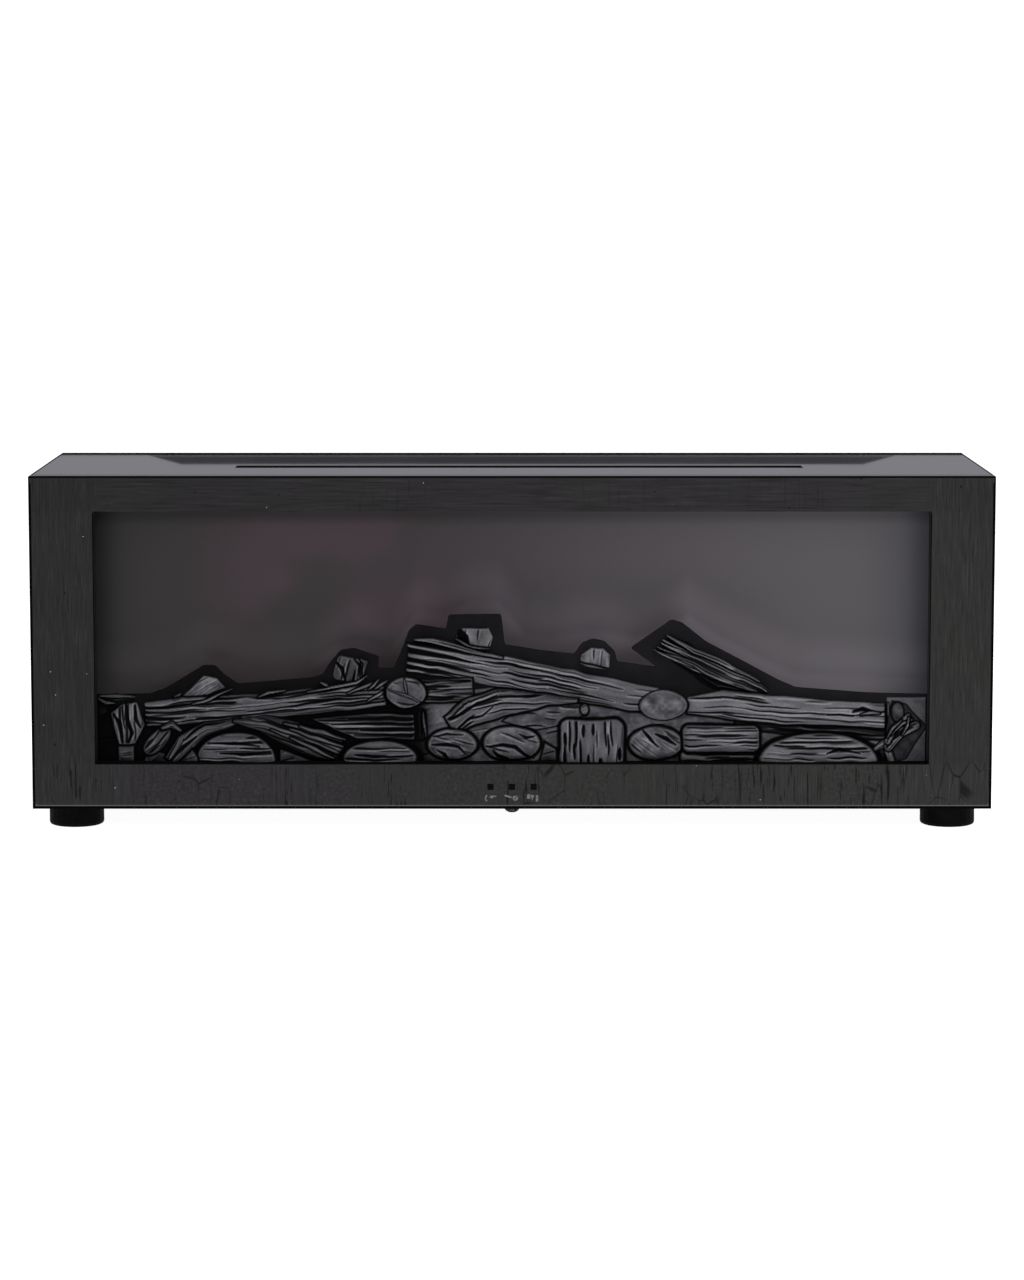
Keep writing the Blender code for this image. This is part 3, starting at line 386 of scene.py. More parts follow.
def charcoal():
    """Painted plastic bark. The tone attribute says how dark or bright each point of the relief is, with
    painted shade in its grooves and painted highlights along their edges.
    """
    material, tree, shader = new_material("charcoal")
    tone = add(tree, "Attribute", attribute_name="tone").outputs["Fac"]
    fine = noise(place(tree), 900.0, 3.0, 0.7)
    patch = noise(place(tree), 60.0, 3.0)
    grain = between(fine, 0.3, 0.7, 0.90, 1.10)
    grit = math("ADD", grain, between(patch, 0.3, 0.7, -0.06, 0.06))
    mixed = times(tone, grit)
    greys = [
        (0.0, (0.0006, 0.0006, 0.0007)),
        (0.15, (0.0050, 0.0047, 0.0053)),
        (0.30, (0.0160, 0.0153, 0.0172)),
        (0.50, (0.0500, 0.0485, 0.0545)),
        (0.70, (0.1000, 0.0980, 0.1080)),
        (1.0, (0.2000, 0.1970, 0.2120)),
    ]
    rough = between(mixed, 0.1, 0.9, 0.85, 0.45)
    set_shader(shader, ramp(mixed, greys), rough, 0.03)
    bump(shader, fine, 0.0001, 0.4)
    return material


def mottled(name, dark, light, roughness, specular=0.5, scale=30.0, grit=700.0, depth=0.00004):
    """A material with a cloudy colour, a fine surface grit and a little change in its roughness."""
    material, tree, shader = new_material(name)
    cloud = noise(place(tree), scale, 4.0)
    colour = ramp(cloud, [(0.3, dark), (0.7, light)])
    rough = between(cloud, 0.3, 0.7, roughness * 0.88, min(roughness * 1.15, 1.0))
    set_shader(shader, colour, rough, specular)
    bump(shader, noise(place(tree), grit, 2.0), depth, 0.5)
    return material


def brushed(name, dark, light, roughness, stretch):
    """Bare metal with drawn lines along one axis."""
    material, tree, shader = new_material(name)
    lines = noise(place(tree, stretch), 1.0, 4.0, 0.7)
    cloud = noise(place(tree), 25.0, 3.0)
    colour = ramp(blend(0.5, lines, cloud), [(0.3, dark), (0.7, light)])
    rough = between(lines, 0.3, 0.7, roughness * 0.8, roughness * 1.25)
    set_shader(shader, colour, rough, metallic=1.0)
    bump(shader, lines, 0.00002, 0.4)
    return material


def circuit_board():
    """Green solder mask with paler tracks and small tinned pads."""
    material, tree, shader = new_material("circuit_board")
    inputs = {
        "Vector": place(tree, (60.0, 60.0, 60.0)),
        "Color1": (0.010, 0.085, 0.030),
        "Color2": (0.014, 0.105, 0.038),
        "Mortar": (0.030, 0.190, 0.070),
        "Scale": 6.0,
        "Mortar Size": 0.05,
    }
    tracks = add(tree, "TexBrick", inputs).outputs["Color"]
    pad = between(cells(tree, 190.0), 0.24, 0.18)
    set_shader(shader, blend(pad, tracks, (0.55, 0.55, 0.52)), 0.38)
    bump(shader, pad, 0.0001, 0.5)
    return material


def laminations():
    """A stack of thin steel plates, edge on."""
    material, tree, shader = new_material("laminations")
    inputs = {"Vector": place(tree), "Scale": 320.0, "Distortion": 0.4, "Detail": 1.0}
    stack = add(tree, "TexWave", inputs, bands_direction="X").outputs["Fac"]
    colour = ramp(stack, [(0.2, (0.07, 0.065, 0.06)), (0.8, (0.30, 0.29, 0.28))])
    set_shader(shader, colour, 0.45, metallic=0.9)
    bump(shader, stack, 0.0001, 0.6)
    return material


def tinted_lens():
    """Smoky plastic that lets infra-red through: cloudy at its root and near black at its tip."""
    material, tree, shader = new_material("tinted_lens")
    cloud = noise(place(tree), 520.0, 3.0)
    colour = ramp(cloud, [(0.40, (0.004, 0.004, 0.005)), (0.60, (0.060, 0.060, 0.068))])
    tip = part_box("remote_eye")[0].z + 0.0017
    dark = between(axis_of(tree, "Z"), tip, tip - 0.0004)
    set_shader(shader, blend(dark, colour, LINE_BLACK), 0.60, 0.0)
    return material


def make_materials():
    """The finished material of each slot. Mottled ones go from a dark to a light tone."""
    steel = brushed("zinc_steel", (0.38, 0.39, 0.40), (0.56, 0.57, 0.58), 0.32, (30.0, 400.0, 400.0))
    bright = brushed("bright_aluminium", (0.62, 0.62, 0.63), (0.82, 0.82, 0.83), 0.26, (20.0, 500.0, 500.0))
    satin = mottled("case_satin", (0.010, 0.010, 0.011), (0.015, 0.015, 0.016), 0.45, 0.10, scale=9.0)
    return {
        "frame_black": frame_lacquer(),
        "case_black": satin,
        "log_charcoal": charcoal(),
        "screen_smoke": screen_acrylic(),
        "inner_black": mottled("heat_black", 0.006, 0.011, 0.72, 0.3),
        "bare_steel": steel,
        "aluminium": bright,
        "grey_plastic": mottled("grey_moulding", (0.15, 0.15, 0.16), (0.22, 0.22, 0.23), 0.50),
        "black_plastic": mottled("black_moulding", (0.010, 0.010, 0.011), (0.018, 0.018, 0.019), 0.42, 0.35),
        "white_nylon": mottled("natural_nylon", (0.66, 0.65, 0.60), (0.78, 0.77, 0.73), 0.45),
        "board_green": circuit_board(),
        "rubber_black": mottled("foot_rubber", 0.0012, (0.0062, 0.0058, 0.0060), 0.55, 0.02),
        "smoked_lens": tinted_lens(),
        "motor_grey": laminations(),
    }


# ---------------------------------------------------------------- log relief: shapes

# The relief is drawn on the log panel's face. Places are (x, z) in millimetres from the middle of the
# floor. Its grid is drawn this many times finer than it is kept.
MM = 0.001
RELIEF_STEP = 0.7
FINER = 2
# The plate's front and back, the relief's height in millimetres where it has none, and its back, which
# lies inside the plate.
PLATE_FACE = -0.1112
PLATE_BACK = -0.1085
FLUSH = -0.3
RELIEF_BACK = PLATE_FACE + 0.0008
# The layout's places are this much closer together across than on the panel.
LAYOUT_STRETCH = 1.005
RELIEF_HALF_WIDTH = 346.0
RELIEF_LOW = 52.0
RELIEF_HIGH = 177.0


def smooth_noise(x, z, cell, seed):
    """Value noise from -1 to 1, the same on each run."""
    size = 128
    lattice = np.random.default_rng(seed).uniform(-1.0, 1.0, (size, size))
    across, up = x / cell + 37.3, z / cell + 19.7
    column, row = np.floor(across).astype(int), np.floor(up).astype(int)
    s, t = across - column, up - row
    s, t = s * s * (3 - 2 * s), t * t * (3 - 2 * t)

    def corner(right, above):
        return lattice[(column + right) % size, (row + above) % size]

    low = corner(0, 0) * (1 - s) + corner(1, 0) * s
    high = corner(0, 1) * (1 - s) + corner(1, 1) * s
    return low * (1 - t) + high * t


def smooth_step(value, low, high):
    t = np.clip((value - low) / (high - low), 0.0, 1.0)
    return t * t * (3 - 2 * t)


def bar(x, z, points, radii, square_start=True, square_end=True):
    """How far inside a bent, tapered bar each point lies, and its place along and across the bar."""
    inside = np.full(x.shape, -1e3)
    along = np.zeros(x.shape)
    across = np.zeros(x.shape)
    travelled = 0.0
    last = len(points) - 2
    for number, (start, end) in enumerate(zip(points, points[1:])):
        run = np.array(end, float) - np.array(start, float)
        length = np.hypot(*run)
        run /= length
        dx, dz = x - start[0], z - start[1]
        u = dx * run[0] + dz * run[1]
        v = dz * run[0] - dx * run[1]
        t = np.clip(u / length, 0.0, 1.0)
        radius = radii[number] * (1 - t) + radii[number + 1] * t
        beyond = u - t * length
        depth = radius - np.hypot(beyond, v)
        if number == 0 and square_start:
            depth = np.where(u < 0, np.minimum(u, radius - np.abs(v)), np.minimum(depth, u + 0.5))
        if number == last and square_end:
            over = length - u
            depth = np.where(over < 0, np.minimum(over, radius - np.abs(v)), np.minimum(depth, over + 0.5))
        nearer = depth > inside
        inside = np.where(nearer, depth, inside)
        along = np.where(nearer, travelled + np.clip(u, -20.0, length + 20.0), along)
        across = np.where(nearer, v, across)
        travelled += length
    return inside, along, across


def turned(x, z, centre, angle):
    """Places measured from a centre, along and across a line at an angle in degrees."""
    c, s = cos(radians(angle)), sin(radians(angle))
    dx, dz = x - centre[0], z - centre[1]
    return dx * c + dz * s, dz * c - dx * s


def oval(x, z, centre, radius_x, radius_z, tilt=0.0):
    u, v = turned(x, z, centre, tilt)
    reach = np.hypot(u / radius_x, v / radius_z)
    return (1 - reach) * min(radius_x, radius_z), u, v


def slab(x, z, centre, half_x, half_z, corner, tilt=0.0):
    """A rectangle with round corners."""
    u, v = turned(x, z, centre, tilt)
    over_x, over_z = np.abs(u) - (half_x - corner), np.abs(v) - (half_z - corner)
    outside = np.hypot(np.maximum(over_x, 0), np.maximum(over_z, 0))
    return corner - outside - np.minimum(np.maximum(over_x, over_z), 0), u, v


def facet(x, z, corners):
    """A convex shape with straight sides, its corners given anticlockwise."""
    inside = np.full(x.shape, 1e3)
    for start, end in zip(corners, corners[1:] + corners[:1]):
        run_x, run_z = end[0] - start[0], end[1] - start[1]
        length = np.hypot(run_x, run_z)
        inside = np.minimum(inside, ((z - start[1]) * run_x - (x - start[0]) * run_z) / length)
    middle = np.mean(corners, axis=0)
    return inside, x - middle[0], z - middle[1]


# ---------------------------------------------------------------- log relief: surfaces


def carved(along, across, seed, pitch=3.3, width=0.8, length=44.0, wander=1.0, strength=1.0):
    """Long strokes cut along a log. They wander and taper off. Painted shade darkens each groove, and a
    raised edge beside it carries a painted highlight.
    """
    draw = np.random.default_rng(seed)
    low, high = along.min(), along.max()
    bottom, top = across.min(), across.max()
    flow = 1.4 * smooth_noise(along, across, 48.0, seed) + 0.4 * smooth_noise(along, across, 18.0, seed + 1)
    level_here = across + wander * flow
    groove = np.zeros(along.shape)
    lip_and_highlight = np.zeros(along.shape)
    rows = max(2, round((top - bottom) / pitch))
    runs = max(1, round((high - low) / (0.75 * length)))
    for row in range(rows):
        for run in range(runs):
            middle = low + (high - low) * (run + draw.uniform(0.0, 1.0)) / runs
            level = bottom + (top - bottom) * (row + draw.uniform(0.1, 0.9)) / rows
            reach = length * draw.uniform(0.25, 0.9)
            thick = width * draw.uniform(0.3, 1.6) * strength
            slope = draw.uniform(-0.05, 0.05) * wander
            side = draw.choice((-1, 1))
            brightness = draw.uniform(0.5, 1.0)
            t = np.clip(1 - ((along - middle) / reach) ** 2, 0.0, 1.0)
            cut = thick * np.sqrt(t)
            away = level_here - level - slope * (along - middle)
            present = smooth_step(t, 0.0, 0.45)
            # Painted shade in each groove, and a painted highlight on the raised edge beside it.
            groove = np.maximum(groove, smooth_step(cut - np.abs(away), -0.28, 0.32) * present)
            beside = np.abs(away - side * (cut + 0.75))
            lip_and_highlight = np.maximum(lip_and_highlight, smooth_step(0.55 - beside, -0.45, 0.40) * present * brightness)
    fibre = smooth_noise(along, level_here * 7.0, 17.0, seed + 2)
    return groove, lip_and_highlight * (1 - groove) + 0.30 * fibre


def faced(u, v, seed, angle=20.0, pitch=9.0, mottling=1.0):
    """A sawn or broken face: soft mottling with a few cracks across it, or none if pitch is 0."""
    mottle = 0.40 * smooth_noise(u, v, 7.0, seed + 5) + 0.20 * smooth_noise(u, v, 2.8, seed + 6)
    mottle *= mottling
    if not pitch:
        return np.zeros(u.shape), mottle
    groove, lip_and_highlight = carved(*turned(u, v, (0.0, 0.0), angle), seed, pitch, 0.55, 20.0, 1.8)
    return 0.8 * groove, 0.8 * lip_and_highlight + mottle


def plate_tone(x):
    """The bare plate is darker at the left than at the right. Places are in millimetres."""
    return np.interp(x, [-300.0, -120.0, 60.0], [0.09, 0.145, 0.20])


class Relief:
    """The height above the plate in millimetres and the tone of each point of a fine grid."""

    def __init__(self):
        columns = FINER * (int(2 * RELIEF_HALF_WIDTH / RELIEF_STEP) + 1)
        rows = FINER * (int((RELIEF_HIGH - RELIEF_LOW) / RELIEF_STEP) + 1)
        line_x = np.linspace(-RELIEF_HALF_WIDTH, RELIEF_HALF_WIDTH, columns)
        line_z = np.linspace(RELIEF_LOW, RELIEF_HIGH, rows)
        self.x, self.z = np.meshgrid(line_x, line_z, indexing="ij")
        self.height = np.full(self.x.shape, FLUSH)
        self.tone = plate_tone(self.x)
        wobble_x = smooth_noise(self.x, self.z, 11.0, 5)
        wobble_z = smooth_noise(self.x, self.z, 11.0, 6)
        self.bent_x = self.x / LAYOUT_STRETCH + 0.7 * wobble_x
        self.bent_z = self.z + 0.7 * wobble_z

    def lay(self, shape, rise, rounding, surface, base=0.0, tone=0.5, outline=1.5, rim_highlight=0.10):
        """Puts one log or face on the relief, over what is there, with a groove round it that painted shade
        darkens, and a painted highlight just inside its edge.
        """
        inside, along, across = shape
        near = inside > -2.5 * outline - 0.5
        depth = inside[near]
        # The ring sinks a groove into the height, and painted shade darkens its tone.
        ring = np.clip(1.35 * (1 - np.abs(depth + outline * 0.6) / outline), 0.0, 1.0)
        in_relief = self.height[near] > 0.0
        sunk = np.maximum(self.height[near] - 1.2 * ring, 0.15)
        self.height[near] = np.where(in_relief, sunk, self.height[near])
        self.tone[near] *= 1 - ring

        within = inside > -0.3
        depth = inside[within]
        part = np.clip(depth / rounding, 0.0, 1.0)
        groove, lip_and_highlight = surface(along[within], across[within])
        fade = smooth_step(depth, 0.3, 1.6)
        edge = np.clip(1 - np.abs(depth - 1.0) / 0.7, 0.0, 1.0)
        body = base + rise * np.sqrt(np.clip(1 - (1 - part) ** 2, 0.0, 1.0))
        body += 0.4 * lip_and_highlight * fade - 1.2 * groove * fade
        # Painted highlights on the raised edges and just inside the outline, and painted shade in the
        # grooves.
        shade = (tone + 0.34 * lip_and_highlight * fade + rim_highlight * edge) * (1 - 0.97 * groove * fade)
        cover = smooth_step(depth, -0.3, 0.3)
        self.height[within] = self.height[within] * (1 - cover) + body * cover
        self.tone[within] = self.tone[within] * (1 - cover) + shade * cover

    def gash(self, points, radii):
        """A split that tapers, cut into the height and darkened by painted shade, with a painted highlight
        on each side of it.
        """
        inside, _, _ = bar(self.bent_x, self.bent_z, points, radii, False, False)
        deep = smooth_step(inside, -0.35, 0.35)
        lip_and_highlight = np.clip(1 - np.abs(inside + 0.9) / 0.7, 0.0, 1.0)
        on_log = self.height > 1.0
        self.tone = np.where(on_log, (self.tone + 0.22 * lip_and_highlight) * (1 - 0.96 * deep), self.tone)
        self.height = np.where(on_log, self.height - 1.3 * deep, self.height)

    def cracks(self, lines, rise, open_before=None):
        """Straight gashes, each from its start to its end with its thickness, bent up by rise.

        They taper off, but stay open at a start that lies left of open_before.
        """
        for start, end, thick in lines:
            middle = ((start[0] + end[0]) / 2, (start[1] + end[1]) / 2 + rise)
            wide_start = open_before is None or start[0] < open_before
            self.gash([start, middle, end], [thick if wide_start else 0.2, thick * 0.8, 0.2])

    def splinter(self, points, thickness=0.9, tone=0.85, outline=1.1):
        """A thin bright fibre that stands off a log and tapers to both ends."""
        radii = [thickness * 0.3] + [thickness] * (len(points) - 2) + [thickness * 0.3]
        shape = bar(self.bent_x, self.bent_z, points, radii, False, False)
        self.lay(shape, 1.2, 1.0, bark(len(points), 4.0), 6.0, tone, outline, 0.0)

    def fibres(self, start, end, spread, count, seed, ragged=7.0, thickness=1.7, bend=1.4):
        """A bundle of long fibres fanned over a log. Spread is the bundle's half width at each end."""
        draw = np.random.default_rng(seed)
        start, end = Vector(start), Vector(end)
        along = (end - start).normalized()
        across = Vector((-along.y, along.x))
        for number in range(count):
            level = 1 - 2 * (number + draw.uniform(0.3, 0.7)) / count
            near = start + across * spread[0] * level + along * draw.uniform(-ragged, ragged)
            far = end + across * spread[1] * level - along * draw.uniform(0.0, 3 * ragged)
            points = [near.lerp(far, t) for t in (0.0, 0.3, 0.65, 1.0)]
            points[1] += across * draw.uniform(-bend, bend)
            points[2] += across * draw.uniform(-bend, bend)
            thick = thickness * draw.uniform(0.6, 1.2)
            self.splinter([tuple(point) for point in points], thick, draw.uniform(0.60, 0.95), 1.0)


def bark(seed, pitch=3.3, wander=1.0, strength=1.0, width=0.8, length=44.0):
    return lambda along, across: carved(along, across, seed, pitch, width, length, wander, strength)


def upright_bark(seed, pitch=3.6, wander=0.7, strength=1.0):
    return lambda along, across: carved(across, along, seed, pitch, 0.8, 22.0, wander, strength)


def face(seed, angle=20.0, pitch=7.5, mottling=1.0):
    return lambda along, across: faced(along, across, seed, angle, pitch, mottling)


def lay_bed(relief):
    """The moulded ground between the logs: dark to the left, paler to the right."""
    x, z, lay = relief.x, relief.z, relief.lay
    top_x = [-347, -305, -220, -108, -34, 37, 122, 176, 223, 311, 347]
    top_z = [108, 95, 101, 112, 116, 124, 108, 104, 99, 93, 110]
    bed = np.minimum(np.interp(x, top_x, top_z) - z, z - 50)
    lay((bed, x, z), 1.4, 1.5, face(11, 10, 24), tone=0.54, outline=0.6)
    shadow = smooth_step(x, -60, -84)
    relief.tone *= 1 - 0.96 * shadow


def lay_back_logs(relief):
    """The stubs and long logs that the pile leans on. Places are in millimetres."""
    x, z, lay = relief.bent_x, relief.bent_z, relief.lay

    # Stubs that stand up behind the long logs, from left to right.
    stub = [(-276, 109), (-262, 108.5), (-238.5, 117.5), (-246, 126), (-256.5, 127.5)]
    lay(facet(x, z, stub), 6, 6, face(21, 35, 7), tone=0.58, rim_highlight=0.2)
    relief.splinter([(-284, 106), (-280, 109.5), (-276, 112.5)], 1.6, 0.6)
    block = slab(x, z, (-135.5, 133), 12, 10.5, 3.5, -14)
    lay(block, 6, 7, upright_bark(23, 4.6), tone=0.46, rim_highlight=0.15)
    relief.gash([(-147, 140), (-141, 134), (-139, 124)], [1, 1.6, 0.8])
    relief.gash([(-131, 142), (-126, 136), (-127, 126)], [0.6, 1.2, 0.5])
    relief.splinter([(-126, 142), (-121.5, 139), (-124, 129)], 1.4, 0.66)
    stub = [(-34, 152), (-18.5, 150.5), (-15.5, 160), (-19, 167.5), (-45, 167), (-46.5, 160)]
    lay(facet(x, z, stub), 5, 6, face(25, 80, 9), tone=0.62, rim_highlight=0.20)
    relief.gash([(-45, 165), (-40, 160), (-37, 154)], [3.2, 3.6, 1.6])
    relief.splinter([(-47, 159), (-35, 152.5), (-19, 151)], 0.9, 0.75)
    dome = [(56.5, 138), (81, 134.5), (81.5, 146), (76, 151), (66, 151), (58, 145)]
    lay(facet(x, z, dome), 5, 6, face(27, 85, 6), tone=0.62, rim_highlight=0.22)
    relief.splinter([(56.5, 138.5), (66, 136.5), (78, 133.5)], 0.8, 0.8)

    # The right-hand diagonal, the under-side of the right log, darker as painted shade, and that log.
    diagonal = [(128, 156), (142, 146), (172, 126), (212, 114)]
    lay(bar(x, z, diagonal, [7, 11, 11, 4]), 4, 11, bark(33, 2.5, 1.3), tone=0.06, rim_highlight=0)
    relief.fibres((134, 149), (202, 117), (9, 6), 6, 38, 4, 1.3, 3.4)
    relief.fibres((126, 154), (214, 114), (9.5, 5), 5, 36, 4, 1.9, 3)
    relief.splinter([(117.5, 150), (126, 145.5), (135, 141.5), (150, 135)], 0.8, 0.85, 0.8)
    lay(bar(x, z, [(186, 88), (311, 80)], [5, 6]), 4, 6, bark(34, 3.4, 0.5), tone=0.22)
    right_log = [(146, 103), (176, 104), (223, 99), (265, 96.5), (311, 94)]
    smooth = bark(35, 4.6, 0.5, 0.8, 0.8, 46)
    lay(bar(x, z, right_log, [7, 11.5, 11.5, 10, 10]), 9, 10, smooth, tone=0.66)
    relief.gash([(283, 98), (292, 100), (303, 98)], [0.6, 1.8, 0.5])
    relief.gash([(262, 95.5), (272, 96), (284, 95)], [0.3, 0.9, 0.3])
    relief.splinter([(290, 95.5), (300, 97.5), (306, 97)], 0.9, 0.8)

    # The long log at the upper left, and the big diagonal log across the middle.
    left_log = [(-305, 95.5), (-264, 99), (-220, 101.5), (-170, 106), (-106, 112)]
    log = bar(x, z, left_log, [10, 11.2, 9.8, 10.5, 9.5])
    lay(log, 9, 10, bark(31, 4, 0.8, 1, 0.75, 56), tone=0.55)
    left_cracks = [
        ((-306, 101.5), (-262, 105), 1.3),
        ((-306, 97.2), (-254, 101), 1),
        ((-306, 92.6), (-270, 94.5), 1.6),
        ((-306, 88), (-276, 90), 1),
        ((-262, 92), (-180, 101), 0.9),
    ]
    relief.cracks(left_cracks, -0.8)
    middle_log = [
        (-87, 142.5), (-60, 141.5), (-10, 131.5), (37, 123.5), (62, 117.5), (100, 110), (122, 107),
    ]
    log = bar(x, z, middle_log, [13.5, 14.5, 13, 11.5, 12.5, 11.5, 10])
    lay(log, 10, 12, bark(37, 6.2, 0.6, 0.9, 0.80, 60), tone=0.58)
    # The splits between the fibres of its upper end, and the long cracks below them.
    middle_cracks = [
        ((-90, 157), (-34, 146), 2.2),
        ((-90, 150.5), (-24, 138.5), 2.4),
        ((-90, 142.5), (-34, 133.5), 2.2),
        ((-90, 136), (-34, 127.5), 2),
        ((-90, 130), (-50, 126), 1.6),
        ((-30, 142), (34, 131), 1.5),
        ((-4, 134), (70, 118), 1.2),
        ((24, 132), (92, 117.5), 1.2),
        ((-30, 128), (20, 116.5), 1),
        ((30, 118), (84, 106.5), 1.3),
    ]
    relief.cracks(middle_cracks, 0.8, open_before=-80)
    relief.splinter([(-81, 158), (-66, 157), (-42, 151.5), (-8, 143)], 1.7, 0.80)


def lay_left_logs(relief):
    """The left half of the pile, in front of the long logs. Places are in millimetres."""
    x, z, lay = relief.bent_x, relief.bent_z, relief.lay

    # Fibres that stand off the long log's top edge.
    for points in (
        [(-266, 104), (-251, 108.5), (-233, 116.5)],
        [(-211, 110.5), (-203, 114), (-188, 116)],
        [(-160, 122.5), (-155, 120), (-150, 117.5)],
        [(-170, 114), (-147, 118.5), (-130, 122), (-121, 128)],
        [(-136, 114), (-122, 119.5), (-111, 124)],
        [(-119, 117), (-115, 120.5), (-111, 125)],
        [(-114, 117.5), (-109, 121), (-103, 124)],
        [(-120, 107), (-112, 112), (-104, 116.5)],
    ):
        relief.splinter(points)

    # Broken branch beside the round cut end.
    lay(bar(x, z, [(-86, 114.5), (-33, 116.5)], [9.8, 9.2]), 7, 9, bark(41, 3.2), tone=0.55)
    lay(oval(x, z, (-88, 113.6), 16.8, 12.6), 9.5, 4, face(43, -20, 14), tone=0.56, rim_highlight=0.30)
    relief.splinter([(-102, 117), (-88, 112.5), (-76, 106)], 0.8, 0.80, 0.6)
    relief.splinter([(-89, 125), (-88, 120), (-87, 114)], 0.8, 0.80, 0.6)

    # The short sawn log with the post behind its end, and the two arms of the arched branch.
    lay(slab(x, z, (-76.5, 86.5), 3.8, 12, 1.5), 2.5, 3, upright_bark(45), tone=0.08, rim_highlight=0)
    relief.splinter([(-73.5, 97), (-73, 86), (-72, 76)], 0.7, 0.7)
    sawn = [(-130, 75), (-81.5, 74.5), (-81.5, 95), (-120, 95.5), (-166, 91.5)]
    lay(facet(x, z, sawn), 7, 7, bark(47, 3.8, 0.2, 1, 0.8, 60), tone=0.50)
    for level, start in ((91.5, -136), (87.6, -150), (82.6, -126), (78.4, -132)):
        relief.gash([(start, level), ((start - 81) / 2, level + 0.4), (-83, level)], [0.4, 1.3, 1.5])
    chip = facet(x, z, [(-307, 54), (-287, 54), (-289, 62), (-303, 66)])
    lay(chip, 3, 4, face(58, 40, 9), tone=0.42)
    left_arm = [(-281, 54), (-271, 70), (-254, 82.5), (-226, 90.5)]
    lay(bar(x, z, left_arm, [8.5, 9, 6, 1.6]), 7, 8, bark(49, 4.6, 1), tone=0.46)
    relief.gash([(-284, 56), (-274, 68), (-262, 77)], [0.6, 1.7, 0.6])
    leaf = bark(59, 3.4, 1.6, 0.9, 0.7, 22)
    lay(oval(x, z, (-295.5, 73), 15, 7.2, 46), 6, 6, leaf, tone=0.48, outline=1, rim_highlight=0.06)
    stalk = bar(x, z, [(-291, 84), (-283, 87), (-276, 82)], [1.2, 2.6, 1.2], False, False)
    lay(stalk, 3, 2.5, bark(60), tone=0.52)
    right_arm = [(-230, 90), (-206, 87), (-188, 80.5), (-165, 71.5), (-142, 62)]
    arm = bar(x, z, right_arm, [1.5, 7.5, 10.5, 11.5, 7], False)
    lay(arm, 7, 8, bark(50, 4.2, 1, 1.2), tone=0.40, outline=0.9)
    for points in (
        [(-200, 82.5), (-176, 73.5), (-150, 61.5)],
        [(-190, 88.5), (-166, 81.5), (-142, 72.5)],
        [(-185, 83.5), (-163, 76), (-141, 68)],
        [(-176, 85.5), (-158, 80.5), (-139, 74)],
        [(-184, 76), (-164, 66.5), (-148, 58.5)],
    ):
        relief.splinter(points, 1.3, 0.72)

    # The far left corner: a near-black patch painted as shadow, a wedge over it, an upright chunk and its
    # block.
    shadow_patch = [(-352, 50), (-327, 50), (-327, 74), (-336, 97), (-318, 107), (-352, 101)]
    lay(facet(x, z, shadow_patch), 0.3, 3, face(92, 0, 0), base=0.3, tone=0.03, outline=0.5, rim_highlight=0)
    wedge = [(-352, 108.5), (-335, 103.5), (-318, 107.5), (-313, 108.2), (-352, 111)]
    lay(facet(x, z, wedge), 2, 2, face(93, -20, 9), tone=0.22, outline=0.9)
    relief.splinter([(-344, 110.6), (-330, 110.4), (-313, 110)], 1.1, 0.72)
    relief.splinter([(-344, 109.4), (-338, 105.5), (-330, 104.5)], 1.3, 0.66)
    block = facet(x, z, [(-328, 56), (-315, 56), (-315, 69), (-328, 69)])
    lay(block, 2.5, 3, face(55, 0, 12), tone=0.50)
    chunk = [(-327.5, 70.5), (-314, 70.5), (-306, 87), (-312.5, 105.5), (-324.5, 103.5), (-333.5, 96)]
    lay(facet(x, z, chunk), 6, 6, upright_bark(57, 5, 0.9, 1), tone=0.56, rim_highlight=0.22)
    relief.gash([(-331, 96), (-326, 88), (-324, 72)], [0.8, 1.9, 1])
    relief.gash([(-321, 104), (-320, 92), (-316.5, 80), (-319, 72)], [0.8, 1.9, 1.5, 0.8])
    relief.gash([(-314, 103), (-312.5, 92), (-309, 84)], [0.8, 1.6, 0.6])

    # The half-round logs and the chips along the bottom.
    half_round = oval(x, z, (-230, 55), 33, 25)
    lay(half_round, 9, 10, bark(61, 5.5, 0.2, 1.3), tone=0.52, outline=3.4, rim_highlight=0.25)
    relief.gash([(-249, 71.5), (-230, 72), (-210, 69.5)], [0.5, 1.4, 0.5])
    relief.gash([(-243, 63.5), (-225, 62.5), (-201, 64)], [0.4, 1.3, 0.5])
    relief.gash([(-226, 67.5), (-212, 67.5), (-201, 66.5)], [0.3, 1, 0.4])
    lay(facet(x, z, [(-277, 54), (-262, 54), (-262, 58), (-266, 66)]), 2, 3, face(62), tone=0.50)
    lay(facet(x, z, [(-193, 54), (-163, 54), (-176, 60), (-193, 65)]), 2, 3, face(63), tone=0.44)
    half_round = oval(x, z, (-109.5, 57.5), 30.5, 15.5)
    lay(half_round, 7.5, 8, bark(65, 4.4, 0.8, 1.1), tone=0.54, outline=2.4, rim_highlight=0.20)


